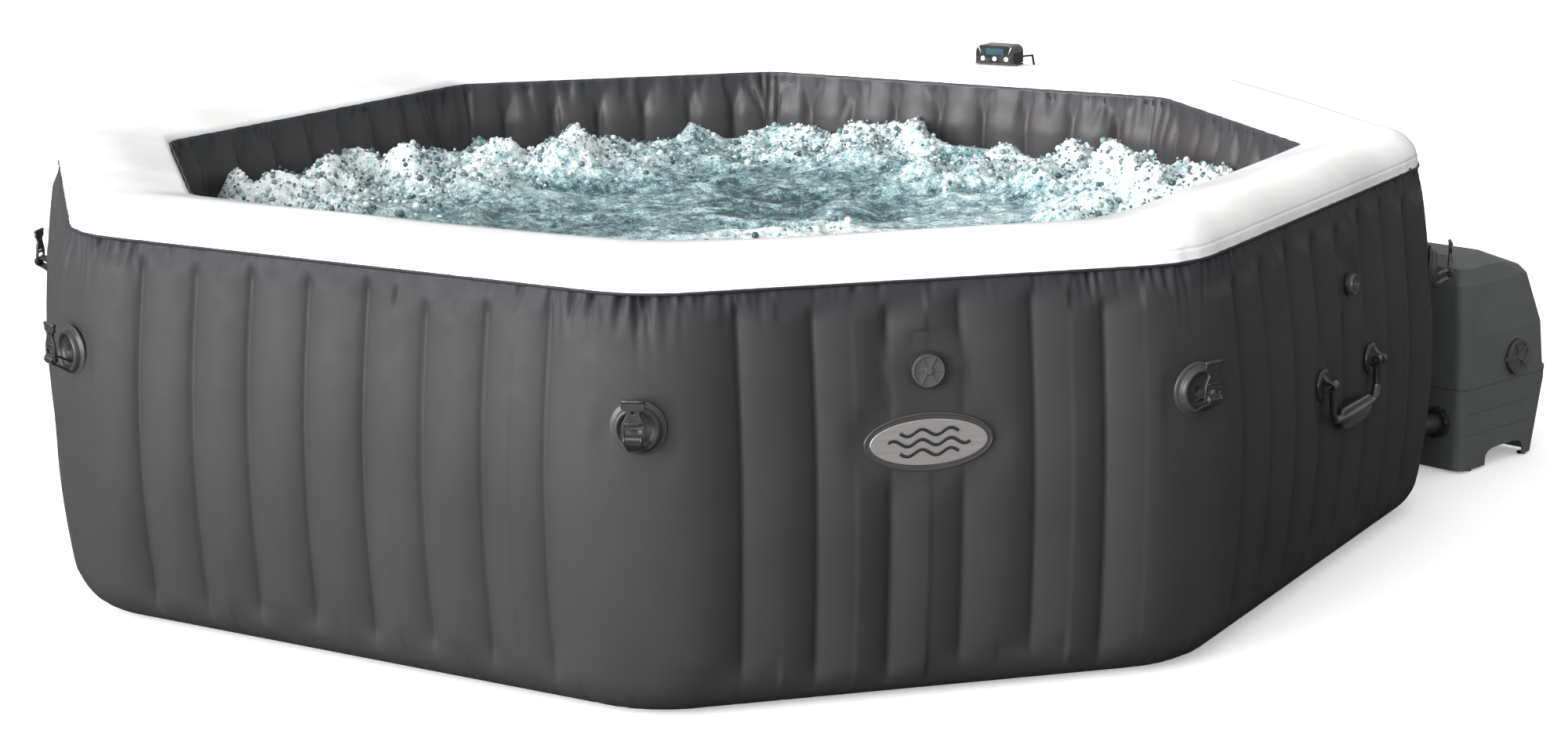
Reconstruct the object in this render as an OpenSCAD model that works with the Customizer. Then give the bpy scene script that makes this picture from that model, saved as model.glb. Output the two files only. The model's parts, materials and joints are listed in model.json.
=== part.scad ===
// Eight-sided inflatable hot tub with its pump and heater unit.
// Millimetres, +Z up. Origin: centre of the tub on the ground.
// The face with the badge and main air valve looks along -Y; the unit stands on the +X side.
// Faces are numbered 0 to 7 anticlockwise from the badge face; corner k lies before face k.

/* [Tub] */
// Width across the four square-on faces, at the rim seam
tub_width = 2260; // [1900:10:2600]
// Distance of the four diagonal faces from the centre, as a share of the others
diagonal_share = 0.96; // [0.94:0.01:1]
// Height of the crown of the rim
tub_height = 662; // [600:2:760]
// Thickness of the air ring between its outer and inner skins
wall_thickness = 188; // [150:2:240]
// How far the wall bellies out beyond the rim seam
belly = 34; // [10:1:40]
// Radius of the wall's lower outer edge
foot_radius = 62; // [40:2:90]
// Radius of the rim's outer edge, from the seam to the crown
rim_radius = 50; // [30:2:60]
// How far the rim's inner edge lies below its crown
rim_fall = 16; // [6:1:30]
// Thickness of the laminated skins
skin = 1.5; // [1:0.1:3]
// Distance between neighbouring upright creases
crease_pitch = 106.5; // [90:0.5:120]

/* [Fittings on the wall] */
// Height of the cover latches
latch_height = 425; // [350:5:480]
// Height of the main air valve
valve_height = 484; // [430:1:520]
// Height of the badge
badge_height = 383; // [330:1:410]
// Height of the hinge line of the carry handles
handle_height = 340; // [250:1:360]
// Distance between a carry handle's two anchor pads
handle_span = 220; // [180:5:260]
// Offset of the carry handle along its face
handle_offset = 50; // [0:5:220]

/* [Pump and heater unit] */
// Width of the unit, measured away from the tub
unit_width = 270; // [250:5:300]
// Depth of the unit
unit_depth = 300; // [290:5:330]
// Height of the unit
unit_height = 396; // [396:2:430]
// Height of the joint between tray and cover
tray_height = 155; // [150:1:165]
// Angle of the unit to the tub's side face
unit_turn = 29; // [0:1:30]
// Distance of the unit's centre from the tub's side face
unit_gap = 222; // [220:2:300]
// Position of the unit along the side face
unit_shift = -40; // [-90:2:0]
// Wall thickness of the unit's mouldings
shell = 3; // [2:0.5:4]

/* [Control pod] */
// Width of the control pod
pod_width = 84; // [70:2:110]
// Depth of the control pod
pod_depth = 46; // [40:2:60]
// Height of the control pod above the rim
pod_height = 36; // [30:1:50]

/* [Hidden] */
$fn = 48;
ARC_STEPS = 6;
GAP = 0.5;
RUN = 0.05;
FACES = [0:7];

seam_height = tub_height - rim_radius;
half_width = tub_width / 2;
foot_reach = wall_thickness + belly * 0.5;
rim_inner_radius = 12;
rim_inner_height = tub_height - rim_fall - rim_inner_radius;
sheet_top = 5.5;

latch_radius = 39;
latch_pin_radius = 2;
latch_pin_out = 30;
latch_pin_drop = 8;
anchor_radius = 26;
handle_pin_radius = 3;
handle_pin_out = 14;
handle_drop = 60;
valve_radius = 27;
valve_bore = 17;
vent_scale = 0.72;
vent_offset = 76;
vent_height = 477;
drain_height = 96;
drain_bore = 14;
drain_wall = 3;
badge_length = 172;
badge_rise = 66;
badge_margin = 9;

hose_radius = 18;
hose_bore = 15;
hose_bend = 60;
fitting_radius = 33;
fitting_tube = 17;
hose_wall_y = [-214, -116, -118];
port_y = [-98, 8, 5];
port_height = [92, 92, 262];
HOSES = [0:2];

unit_x = half_width + unit_gap;
tray_foot = 4;
tray_floor = 38;
corner_round = 22;
filter_x = 30;
filter_height = 196;
filter_bore = 28;
pump_y = 65;
pump_height = 88;
shaft_radius = 4;
fan_x = -55;
fan_y = 45;
fan_floor = 240;
fan_shaft = 3;

pod_along = -20;
pod_reach = 102;
pod_floor = tub_height + 4;
button_radius = 4.5;
button_pitch = 26;
cable_radius = 2.5;
mains_radius = 4;

// ---- geometry of the octagon ----

function face_angle(k) = 45 * k - 90;
function face_reach(k) = half_width * (k % 2 == 0 ? 1 : diagonal_share);
function creases(k) = k % 2 == 0 ? 6 : 8;
function crease_offset(k, i) = (i - (creases(k) - 1) / 2) * crease_pitch;

// corner k of the octagon set in from the outside by inset
function corner_point(k, inset) =
    let (a = face_angle(k - 1), b = face_angle(k))
    let (d = face_reach(k + 7) - inset, e = face_reach(k) - inset)
    [(d * sin(b) - e * sin(a)) / sin(45), (e * cos(a) - d * cos(b)) / sin(45)];

function octagon(inset) = [for (k = FACES) corner_point(k, inset)];

// octagon whose sides lie reach outside the ring's inner line, with round corners
function round_octagon(reach) = [
    for (k = FACES, i = [0:ARC_STEPS])
        let (a = face_angle(k - 1) + 45 * i / ARC_STEPS)
        corner_point(k, wall_thickness) + reach * [cos(a), sin(a)]
];

function arc(centre, radius, from, to, steps) = [
    for (i = [0:steps])
        let (a = from + (to - from) * i / steps)
        centre + radius * [cos(a), sin(a)]
];

function reversed(list) = [for (i = [len(list) - 1:-1:0]) list[i]];

// distance from the ring's inner line to the outside of the wall at height z
function outer_reach(z) =
    wall_thickness + belly * sin(150 * (seam_height - z) / (seam_height - foot_radius));

// the same for something flat that spans half above and half below height z
function seat(z, half) = GAP + max([for (i = [-2:2]) outer_reach(z + half * i / 2)]);

module on_face(k, along, reach, z)
    rotate([0, 0, face_angle(k) - 90])
        translate([-along, face_reach(k) - wall_thickness + reach, z])
            children();

module on_corner(k, reach, z)
    translate(corner_point(k, wall_thickness))
        rotate([0, 0, face_angle(k) - 112.5])
            translate([0, reach, z])
                children();

// sweeps a closed outline of [outward distance, height] points round the tub
module around_tub(outline) {
    count = len(outline);
    stations = 8 * (ARC_STEPS + 1);
    points = [
        for (k = FACES, i = [0:ARC_STEPS], p = outline)
            let (a = face_angle(k - 1) + 45 * i / ARC_STEPS)
            let (c = corner_point(k, wall_thickness))
            [c[0] + p[0] * cos(a), c[1] + p[0] * sin(a), p[1]]
    ];
    faces = [
        for (j = [0:stations - 1], i = [0:count - 1])
            let (n = (j + 1) % stations, m = (i + 1) % count)
            [j * count + i, j * count + m, n * count + m, n * count + i]
    ];
    polyhedron(points, faces, convexity = 6);
}

// ---- shared shapes ----

// cylinder that points outward along +Y
module peg(radius, from, to)
    translate([0, from, 0])
        rotate([-90, 0, 0])
            cylinder(r = radius, h = to - from);

module ring(outer, inner, from, to)
    difference() {
        peg(outer, from, to);
        peg(inner, from - 1, to + 1);
    }

module bar_x(radius, from, to)
    translate([from, 0, 0])
        rotate([0, 90, 0])
            cylinder(r = radius, h = to - from);

module block(low, high)
    translate(low)
        cube(high - low);

function ellipse(length, rise) = [
    for (i = [0:47]) [length / 2 * cos(7.5 * i), rise / 2 * sin(7.5 * i)]
];

function rounded_box(x0, x1, half, radius) = concat(
    arc([x1 - radius, half - radius], radius, 0, 90, ARC_STEPS),
    arc([x0 + radius, half - radius], radius, 90, 180, ARC_STEPS),
    arc([x0 + radius, radius - half], radius, 180, 270, ARC_STEPS),
    arc([x1 - radius, radius - half], radius, 270, 360, ARC_STEPS)
);

module slab(x0, x1, half, radius, z, height)
    translate([0, 0, z])
        linear_extrude(height)
            polygon(rounded_box(x0, x1, half, radius));

// surface through equal rings of points; a closed one joins the last ring to the first,
// an open one has flat ends
module loft(rings, closed) {
    sides = len(rings[0]);
    count = len(rings);
    function at(i, j) = (i % count) * sides + j % sides;
    cells = [for (i = [0:count - (closed ? 1 : 2)], j = [0:sides - 1]) [i, j]];
    polyhedron(
        [for (r = rings) each r],
        concat(
            [for (c = cells) [at(c[0], c[1]), at(c[0] + 1, c[1]), at(c[0] + 1, c[1] + 1)]],
            [for (c = cells) [at(c[0], c[1]), at(c[0] + 1, c[1] + 1), at(c[0], c[1] + 1)]],
            closed ? [] : [
                [for (j = [0:sides - 1]) at(0, j)],
                [for (j = [sides - 1:-1:0]) at(count - 1, j)]
            ]
        ),
        convexity = 6
    );
}

function unit(v) = v / norm(v);

// direction of a path at each of its points
function headings(path) = [
    for (i = [0:len(path) - 1])
        let (before = unit(path[max(i, 1)] - path[max(i, 1) - 1]))
        let (j = min(i, len(path) - 2))
        unit(before + unit(path[j + 1] - path[j]))
];

// lines square to a path, each turned as little as possible from the one before
function side_lines(directions, first, i = 0) =
    i == len(directions) ? [] :
    let (side = unit(first - (first * directions[i]) * directions[i]))
    concat([side], side_lines(directions, side, i + 1));

// rings of points round a path
function path_rings(path, radius, sides) =
    let (ahead = headings(path))
    let (side = side_lines(ahead, unit([0.2, 0.3, 1])))
    [for (i = [0:len(path) - 1])
        [for (j = [0:sides - 1])
            let (a = 360 * j / sides)
            path[i] + radius * (cos(a) * side[i] + sin(a) * cross(ahead[i], side[i]))]];

// flexible cable along a path
module cable(path, radius)
    loft(path_rings(path, radius, 8), false);

// ---- the inflated ring ----

module base_sheet()
    color([0.16, 0.16, 0.17])
        linear_extrude(skin)
            polygon(round_octagon(foot_reach - foot_radius - GAP));

module floor_sheet()
    color([0.25, 0.27, 0.28])
        translate([0, 0, sheet_top - skin])
            linear_extrude(skin)
                polygon(octagon(wall_thickness + GAP));

function wall_line(depth) = concat(
    arc([foot_reach - foot_radius, foot_radius], foot_radius - depth, -90, 0, 5),
    [for (i = [5:-1:0])
        let (z = foot_radius + (seam_height - foot_radius) * (1 - i / 6))
        [outer_reach(z) - depth, z]]
);

module outer_wall()
    color([0.28, 0.28, 0.29])
        difference() {
            around_tub(concat(wall_line(0), reversed(wall_line(skin))));
            on_face(0, 0, 0, valve_height)
                peg(valve_bore + drain_wall + 1, wall_thickness - 20, wall_thickness + 40);
            on_face(1, vent_offset, 0, vent_height)
                peg(vent_scale * (valve_bore + drain_wall) + 1, wall_thickness - 20, wall_thickness + 40);
            on_face(4, 0, 0, drain_height)
                peg(drain_bore + drain_wall + 1, wall_thickness - 20, wall_thickness + 40);
            for (i = HOSES)
                on_face(2, hose_wall_y[i], 0, port_height[i])
                    peg(fitting_tube + 1, wall_thickness - 20, wall_thickness + 40);
        }

module inner_wall()
    color([0.2, 0.2, 0.21])
        difference() {
            translate([0, 0, sheet_top + GAP])
                linear_extrude(rim_inner_height - sheet_top - 2 * GAP)
                    difference() {
                        polygon(octagon(wall_thickness - skin));
                        polygon(octagon(wall_thickness));
                    }
            on_face(4, 0, 0, drain_height)
                peg(drain_bore + 2 * drain_wall + 2, -10, 10);
            for (i = HOSES)
                on_face(2, hose_wall_y[i], 0, port_height[i])
                    peg(fitting_tube + 1, -10, 10);
        }

function rim_line(depth) = concat(
    arc([wall_thickness - rim_radius, seam_height], rim_radius - depth, 1, 90, 6),
    [[wall_thickness * 0.45, tub_height - rim_fall * 0.25 - depth]],
    arc([rim_inner_radius + GAP, rim_inner_height], rim_inner_radius - depth, 90, 180, 4)
);

module top_rim()
    color([0.95, 0.95, 0.94])
        around_tub(concat(rim_line(0), reversed(rim_line(skin))));

module rim_weld_strip()
    color([0.2, 0.2, 0.22])
        around_tub([
            [wall_thickness + 2.5, seam_height - 8],
            [wall_thickness + 2.5 + skin, seam_height - 8],
            [wall_thickness + 2.5 + skin, seam_height + 2],
            [wall_thickness + 2.5, seam_height + 2]
        ]);

// the skins are drawn in to the beams at the creases
module wall_beams() {
    top = seam_height - 12;
    middle = tub_height / 2;
    margin = 11;
    color([0.75, 0.75, 0.72])
        for (k = FACES, i = [0:creases(k) - 1])
            on_face(k, crease_offset(k, i), 0, 0)
                rotate([90, 0, 90])
                    linear_extrude(1.2, center = true)
                        polygon([
                            [margin, foot_radius],
                            [outer_reach(foot_radius) - margin, foot_radius],
                            [outer_reach(middle) - margin, middle],
                            [outer_reach(top) - margin, top],
                            [margin, top]
                        ]);
}

module bubble_duct() {
    low = sheet_top + 1;
    high = low + 34;
    back = wall_thickness + 1;
    front = back + 26;
    color([0.62, 0.64, 0.65])
        difference() {
            translate([0, 0, low])
                linear_extrude(high - low)
                    difference() {
                        polygon(octagon(back));
                        polygon(octagon(front));
                    }
            translate([0, 0, low + skin])
                linear_extrude(high - low - 2 * skin)
                    difference() {
                        polygon(octagon(back + skin));
                        polygon(octagon(front - skin));
                    }
            for (k = FACES, i = [-2:2])
                on_face(k, i * crease_pitch, 0, low + 22)
                    peg(2, -30, -20);
        }
}

// ---- cover latches ----

module latch_patches()
    color([0.2, 0.2, 0.21])
        for (k = FACES)
            on_corner(k, seat(latch_height, latch_radius), latch_height) {
                peg(latch_radius, 0, 3);
                ring(latch_radius, latch_radius - 5, 2.5, 5);
                for (side = [-1, 1])
                    translate([side * 16, 0, 0])
                        block([-2, 2, -latch_pin_drop - 6], [2, latch_pin_out + 5, 6 - latch_pin_drop]);
                translate([0, latch_pin_out, -latch_pin_drop])
                    bar_x(latch_pin_radius, -17, 17);
            }

module latch_receiver(k) {
    thickness = 3.5;
    color([0.07, 0.07, 0.08])
        on_corner(k, seat(latch_height, latch_radius), latch_height)
            translate([0, latch_pin_out, -latch_pin_drop])
                difference() {
                    union() {
                        bar_x(4.5, -13.5, 13.5);
                        block([-13, -thickness / 2, 0], [13, thickness / 2, 12]);
                        block([-17, -thickness / 2, 9], [17, thickness / 2, 32]);
                        block([-7, -thickness / 2, 30], [7, thickness / 2, 48]);
                        block([-15, -thickness / 2, 46], [15, thickness / 2, 52]);
                        translate([0, 0, 52])
                            bar_x(3, -16, 16);
                    }
                    bar_x(latch_pin_radius + RUN, -20, 20);
                    block([-10, -thickness, 15], [10, thickness, 22]);
                    translate([0, 0, 40])
                        peg(2.5, -thickness, thickness);
                }
}

// ---- carry handles ----

module at_handle(k)
    on_face(k, handle_offset, seat(handle_height, anchor_radius), handle_height)
        children();

module handle_anchors() {
    half = handle_span / 2;
    color([0.1, 0.1, 0.1])
        for (k = [1, 5], side = [-1, 1])
            at_handle(k) {
                translate([side * half, 0, 0])
                    peg(anchor_radius, 0, 3.5);
                translate([side * (half + 4), 0, 0])
                    block([-3, 3, -9], [3, handle_pin_out + 8, 9]);
                translate([side * (half - 6), handle_pin_out, 0])
                    bar_x(handle_pin_radius, -9, 9);
            }
}

module handle(k) {
    barrel = handle_span / 2 - 7;
    bend = 22;
    arm = 6;
    color([0.03, 0.03, 0.03])
        at_handle(k)
            translate([0, handle_pin_out, 0])
                difference() {
                    union() {
                        for (side = [-1, 1]) {
                            translate([side * barrel, 0, 0])
                                bar_x(7.5, -7.5, 7.5);
                            translate([side * barrel, 0, bend - handle_drop])
                                cylinder(r = arm, h = handle_drop - bend);
                            mirror([side < 0 ? 1 : 0, 0, 0])
                                translate([barrel - bend, 0, bend - handle_drop])
                                    rotate([90, 0, 0])
                                        rotate([0, 0, -90])
                                            rotate_extrude(angle = 90)
                                                translate([bend, 0])
                                                    circle(r = arm);
                        }
                        translate([0, 0, -handle_drop])
                            bar_x(arm, bend - barrel, barrel - bend);
                        translate([0, 0, -handle_drop])
                            bar_x(arm + 2, -55, 55);
                    }
                    for (side = [-1, 1])
                        translate([side * barrel, 0, 0])
                            bar_x(handle_pin_radius + RUN, -9, 9);
                }
}

// ---- valves ----

module valve_body(share) {
    tube = share * (valve_bore + 3);
    depth = 24;
    ring(share * valve_radius, share * valve_bore, 0, 3);
    ring(tube, share * valve_bore, -depth, 1);
    difference() {
        block([-tube + 1, -depth, -1.5], [tube - 1, 2 - depth, 1.5]);
        peg(2, -depth - 1, 3 - depth);
    }
}

module valve_cap(share) {
    rim = share * 23;
    top = 8.5;
    peg(rim, 3.5, top);
    peg(share * valve_bore - RUN, -7, 4);
    ring(rim, rim - 2, top - 1, top + 2);
    peg(share * 5, top - 1, top + 3);
    for (i = [0:5])
        rotate([0, 60 * i, 0])
            block([share * 4, top - 1, -share * 1.2], [rim - 1, top + 1.6, share * 1.2]);
}

module at_air_valve()
    on_face(0, 0, seat(valve_height, valve_radius), valve_height)
        children();

module at_vent_valve()
    on_face(1, vent_offset, seat(vent_height, valve_radius * vent_scale), vent_height)
        children();

module at_drain()
    on_face(4, 0, seat(drain_height, valve_radius), drain_height)
        children();

module air_valve_body()
    color([0.13, 0.13, 0.14])
        at_air_valve()
            valve_body(1);

module air_valve_cap()
    color([0.3, 0.3, 0.31])
        at_air_valve()
            valve_cap(1);

module vent_valve_body()
    color([0.13, 0.13, 0.14])
        at_vent_valve()
            valve_body(vent_scale);

module vent_valve_cap()
    color([0.3, 0.3, 0.31])
        at_vent_valve()
            valve_cap(vent_scale);

module valve_flap(share) {
    peg(share * 15, -21, -19.8);
    peg(1.5, -25, -20);
}

module valve_flaps()
    color([0.5, 0.5, 0.48]) {
        at_air_valve()
            valve_flap(1);
        at_vent_valve()
            valve_flap(vent_scale);
    }

module drain_valve_body()
    color([0.13, 0.13, 0.14])
        at_drain() {
            ring(valve_radius, drain_bore, 0, 3);
            ring(drain_bore + drain_wall, drain_bore, -34, 1);
        }

module drain_valve_cap()
    color([0.3, 0.3, 0.31])
        at_drain() {
            ring(drain_bore + 8, drain_bore + 5, 3.5, 11);
            peg(drain_bore + 8, 10, 14);
            peg(drain_bore - RUN, -8, 11);
            for (i = [0:1])
                rotate([0, 90 * i, 0])
                    block([-drain_bore, 13, -1.5], [drain_bore, 17, 1.5]);
        }

module drain_tube()
    color([0.35, 0.36, 0.37])
        on_face(4, 0, 0, drain_height) {
            ring(drain_bore + 2 * drain_wall, drain_bore + drain_wall + RUN, -3, wall_thickness - 12);
            ring(valve_radius, drain_bore + drain_wall + RUN, -3, -GAP);
        }

// ---- badge ----

module on_badge()
    on_face(0, 0, seat(badge_height, badge_rise / 2 + badge_margin), badge_height)
        rotate([90, 0, 180])
            children();

module badge_plate()
    color([0.72, 0.72, 0.72])
        on_badge()
            linear_extrude(2.2)
                polygon(ellipse(badge_length, badge_rise));

module badge_border()
    color([0.12, 0.12, 0.12])
        on_badge()
            linear_extrude(1.4)
                difference() {
                    polygon(ellipse(badge_length + 2 * badge_margin, badge_rise + 2 * badge_margin));
                    polygon(ellipse(badge_length + 1, badge_rise + 1));
                }

// ---- connection between tub and unit ----

module at_fitting(i)
    on_face(2, hose_wall_y[i], 0, port_height[i])
        children();

function fitting_seat(i) = seat(port_height[i], fitting_radius);

module wall_fittings()
    color([0.12, 0.12, 0.13])
        for (i = HOSES)
            at_fitting(i) {
                ring(fitting_radius, hose_bore, fitting_seat(i), fitting_seat(i) + 4);
                ring(fitting_tube, hose_bore, -20, fitting_seat(i) + 1);
            }

module fitting_gaskets()
    color([0.05, 0.05, 0.05])
        for (i = HOSES)
            at_fitting(i)
                ring(fitting_radius - 2, fitting_tube + 0.3, -2.5, -GAP);

module fitting_nuts()
    color([0.15, 0.15, 0.16])
        for (i = HOSES)
            at_fitting(i)
                difference() {
                    union() {
                        peg(fitting_radius, -12, -3);
                        for (a = [0:30:330])
                            rotate([0, a, 0])
                                block([fitting_radius - 3, -12, -3], [fitting_radius + 2, -3, 3]);
                    }
                    peg(fitting_tube + RUN, -13, -2);
                }

module strainer_grids()
    color([0.8, 0.8, 0.8])
        for (i = [0, 1])
            at_fitting(i)
                difference() {
                    peg(fitting_radius - 1, -34, -12.5);
                    peg(fitting_radius - 3, -32, -11);
                    for (j = [-3:3])
                        block([-22, -36, j * 7 - 1.6], [22, -31, j * 7 + 1.6]);
                }

module at_unit()
    translate([unit_x, unit_shift, 0])
        rotate([0, 0, unit_turn])
            children();

function port_point(i) = [
    unit_x - unit_width / 2 * cos(unit_turn) - port_y[i] * sin(unit_turn),
    unit_shift - unit_width / 2 * sin(unit_turn) + port_y[i] * cos(unit_turn)
];

bend_reach = hose_bend * tan(unit_turn / 2);
function port_leg(i) = (port_point(i)[1] - hose_wall_y[i]) / sin(unit_turn);
function bend_x(i) = port_point(i)[0] - port_leg(i) * cos(unit_turn);
function wall_face_x(i) = half_width - wall_thickness + fitting_seat(i) + 4 + GAP;

// bent hose whose two straight legs, if drawn out, would meet at the origin
module bent_hose(wall_leg, unit_leg) {
    bend = arc([-bend_reach, hose_bend], hose_bend, -90, unit_turn - 90, ARC_STEPS);
    plan = concat([[-wall_leg, 0]], bend, [unit_leg * [cos(unit_turn), sin(unit_turn)]]);
    path = [for (p = plan) [p[0], p[1], 0]];
    sides = 24;
    loft(concat(path_rings(path, hose_radius, sides), reversed(path_rings(path, hose_bore, sides))), true);
}

module at_bend(i)
    translate([bend_x(i), hose_wall_y[i], port_height[i]])
        children();

module unit_hoses()
    color([0.16, 0.16, 0.17])
        for (i = HOSES)
            at_bend(i)
                bent_hose(bend_x(i) - wall_face_x(i), port_leg(i) - 1);

module hose_collar()
    difference() {
        union() {
            bar_x(hose_radius + 8, 0, 13);
            for (a = [0:30:330])
                rotate([a, 0, 0])
                    block([0, hose_radius + 5, -2.5], [13, hose_radius + 11, 2.5]);
        }
        bar_x(hose_radius + GAP, -1, 14);
    }

module hose_collars()
    color([0.1, 0.1, 0.1])
        for (i = HOSES) {
            translate([wall_face_x(i) + GAP, hose_wall_y[i], port_height[i]])
                hose_collar();
            at_bend(i)
                rotate([0, 0, unit_turn])
                    translate([port_leg(i) - 16, 0, 0])
                        hose_collar();
        }

// ---- pump and heater unit ----

half_unit = unit_width / 2;
half_depth = unit_depth / 2;
outer_side = half_unit + 6;
tray_side_low = half_unit - 29;

// solid tray form, tapered on the side away from the tub, drawn inset inside its outside
module tray_form(inset, low, high)
    hull()
        for (z = [low, min(high, tray_height - 14), high])
            slab(inset - half_unit, tray_side(z) - inset, half_depth - inset, corner_round, z, 0.5);

function tray_side(z) =
    tray_side_low + (outer_side - tray_side_low) * min(1, z / (tray_height - 14));

// arch under the tray that leaves two feet
function arch_line() = [
    for (a = [0:12:180])
        [5 + 62 * sign(cos(a)) * pow(abs(cos(a)), 0.5), tray_foot - 1 + 31 * pow(sin(a), 0.5)]
];

module port_holes(radius)
    for (i = HOSES)
        translate([-half_unit, port_y[i], port_height[i]])
            bar_x(radius, -10, 10);

screw_spots = [[-80, 90], [80, 90], [-70, 0], [70, 0]];

module filter_hole(radius)
    translate([filter_x, 0, filter_height])
        peg(radius, -unit_depth, -60);

module at_screws()
    for (spot = screw_spots)
        rotate([0, 0, spot[1] - 90])
            translate([spot[0], spot[1] == 90 ? half_depth : outer_side, tray_height + 5])
                children();

module unit_tray() {
    lip = 4.2;
    color([0.33, 0.34, 0.34])
        difference() {
            union() {
                difference() {
                    tray_form(0, tray_foot, tray_height - 0.5);
                    tray_form(shell, tray_floor, tray_height + 1);
                    tray_form(shell, tray_foot - 1, tray_floor - shell);
                }
                difference() {
                    union() {
                        slab(1.5 - half_unit, outer_side - 1.5, half_depth - 1.5, corner_round, tray_height - 10, 9);
                        slab(lip - half_unit, outer_side - lip, half_depth - lip, corner_round - 3,
                             tray_height - 10, 20);
                    }
                    slab(lip + shell - half_unit, outer_side - lip - shell, half_depth - lip - shell,
                         corner_round - 6, tray_height - 12, 24);
                }
            }
            rotate([90, 0, 0])
                linear_extrude(2 * unit_depth, center = true)
                    polygon(arch_line());
            port_holes(hose_bore);
            filter_hole(filter_bore + 8);
            at_screws()
                peg(2 + RUN, -20, 5);
            for (z = [66, 106])
                block([-half_unit + 18, -half_depth - 1, z], [half_unit - 50, 1.5 - half_depth, z + 3]);
            for (x = [-20, 60])
                translate([x, half_depth, 60])
                    peg(mains_radius + 1, -10, 10);
        }
}

// the cover's outline at rising heights: [height, low x, high x, half depth]
cover_levels = [
    [tray_height + 1.5, -half_unit, half_unit + 2, half_depth],
    [250, -half_unit + 1, half_unit - 11, half_depth - 1],
    [345, -half_unit + 3, half_unit - 52, half_depth - 9],
    [unit_height - 34, -half_unit + 8, half_unit - 70, half_depth - 16],
    [unit_height - 20, -half_unit + 7, half_unit - 120, half_depth - 16],
    [unit_height - 0.5, -half_unit + 26, half_unit - 160, half_depth - 40]
];

module cover_form(inset, drop)
    hull()
        for (level = cover_levels)
            slab(level[1] + inset, level[2] - inset, level[3] - inset, corner_round, level[0] - drop, 0.5);

module unit_cover()
    color([0.33, 0.34, 0.34])
        difference() {
            union() {
                cover_form(0, 0);
                slab(-half_unit - 1, outer_side, half_depth + 1, corner_round, tray_height + 1, 9);
            }
            cover_form(shell, shell);
            translate([0, 0, tray_height - 2])
                linear_extrude(12)
                    polygon(rounded_box(shell - half_unit, outer_side - shell - 0.5, half_depth - shell, corner_round));
            port_holes(hose_bore);
            filter_hole(filter_bore + 5);
            at_screws()
                peg(2 + RUN, -20, 5);
            for (side = [-1, 1])
                translate([filter_x + side * 40, -half_depth, tray_height + 8])
                    rotate([0, -side * 12, 0])
                        block([-0.7, -2, 0], [0.7, 1.6, 34]);
        }

module unit_feet()
    color([0.05, 0.05, 0.05])
        at_unit()
            for (x = [-96, 82], y = [-1, 1])
                translate([x, y * (half_depth - 12), 0])
                    cylinder(r = 8, h = tray_foot - GAP);

module cover_screws()
    color([0.6, 0.6, 0.6])
        at_unit()
            at_screws()
                difference() {
                    union() {
                        peg(2, -9, 2);
                        peg(4, 1.5, 4);
                    }
                    block([-3, 3, -0.6], [3, 5, 0.6]);
                    block([-0.6, 3, -3], [0.6, 5, 3]);
                }

module at_filter()
    at_unit()
        translate([filter_x, -half_depth, filter_height])
            rotate([0, 0, 180])
                children();

module filter_canister()
    color([0.2, 0.2, 0.21])
        at_filter()
            difference() {
                union() {
                    peg(filter_bore + 4, -130, 2);
                    peg(filter_bore + 7, -20, -6);
                }
                peg(filter_bore, -126, 3);
            }

module filter_cap() {
    rim = filter_bore + 4;
    color([0.17, 0.17, 0.18])
        at_filter() {
            ring(rim, rim - 4, 2.5, 9);
            peg(rim - 2, 2.5, 6);
            peg(filter_bore - RUN, -8, 3);
            peg(6, 5, 11);
            for (i = [0:4])
                rotate([0, 72 * i, 0])
                    block([4, 5, -3], [rim - 3, 9.5, 3]);
            for (side = [-1, 1])
                translate([side * (rim + 2), 0, 0])
                    block([-4, 3, -4], [4, 7, 4]);
        }
}

module filter_cartridge()
    color([0.85, 0.87, 0.9])
        at_filter()
            difference() {
                union() {
                    peg(21, -120, -14);
                    for (a = [0:20:340])
                        rotate([0, a, 0])
                            block([18, -117, -1], [25, -17, 1]);
                    peg(25.5, -122, -117);
                    peg(25.5, -17, -12);
                }
                peg(9, -123, -11);
            }

module on_pump()
    at_unit()
        translate([0, pump_y, pump_height])
            children();

module pump_housing()
    color([0.14, 0.14, 0.15])
        on_pump()
            difference() {
                union() {
                    bar_x(41, -70, -36);
                    bar_x(34, -37, 60);
                    bar_x(16, -90, -69);
                    for (i = [0:4])
                        bar_x(36, i * 14 - 20, i * 14 - 16);
                    translate([-53, 30, 0])
                        cylinder(r = 12, h = 60);
                }
                bar_x(37, -66, -40);
                bar_x(12, -91, -60);
                bar_x(shaft_radius + RUN, -41, 40);
                translate([-53, 30, 0])
                    cylinder(r = 9, h = 61);
            }

module pump_rotor()
    color([0.7, 0.7, 0.72])
        on_pump() {
            bar_x(shaft_radius, -56, 38);
            bar_x(9, -58, -44);
            bar_x(34, -60, -57);
            for (a = [0:60:300])
                rotate([a, 0, 0])
                    block([-58, 6, -1], [-46, 33, 1]);
        }

module on_fan()
    at_unit()
        translate([fan_x, fan_y, fan_floor])
            children();

module blower_housing()
    color([0.2, 0.2, 0.21])
        on_fan()
            difference() {
                union() {
                    cylinder(r = 54, h = 44);
                    translate([0, 0, -38])
                        cylinder(r = 26, h = 39);
                    translate([0, port_y[2] - fan_y, 22])
                        bar_x(14, -64, 0);
                }
                translate([0, 0, 4])
                    cylinder(r = 48, h = 36);
                translate([0, 0, 30])
                    cylinder(r = 20, h = 20);
                translate([0, 0, -30])
                    cylinder(r = fan_shaft + RUN, h = 40);
                translate([0, port_y[2] - fan_y, 22])
                    bar_x(11, -65, 0);
            }

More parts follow.
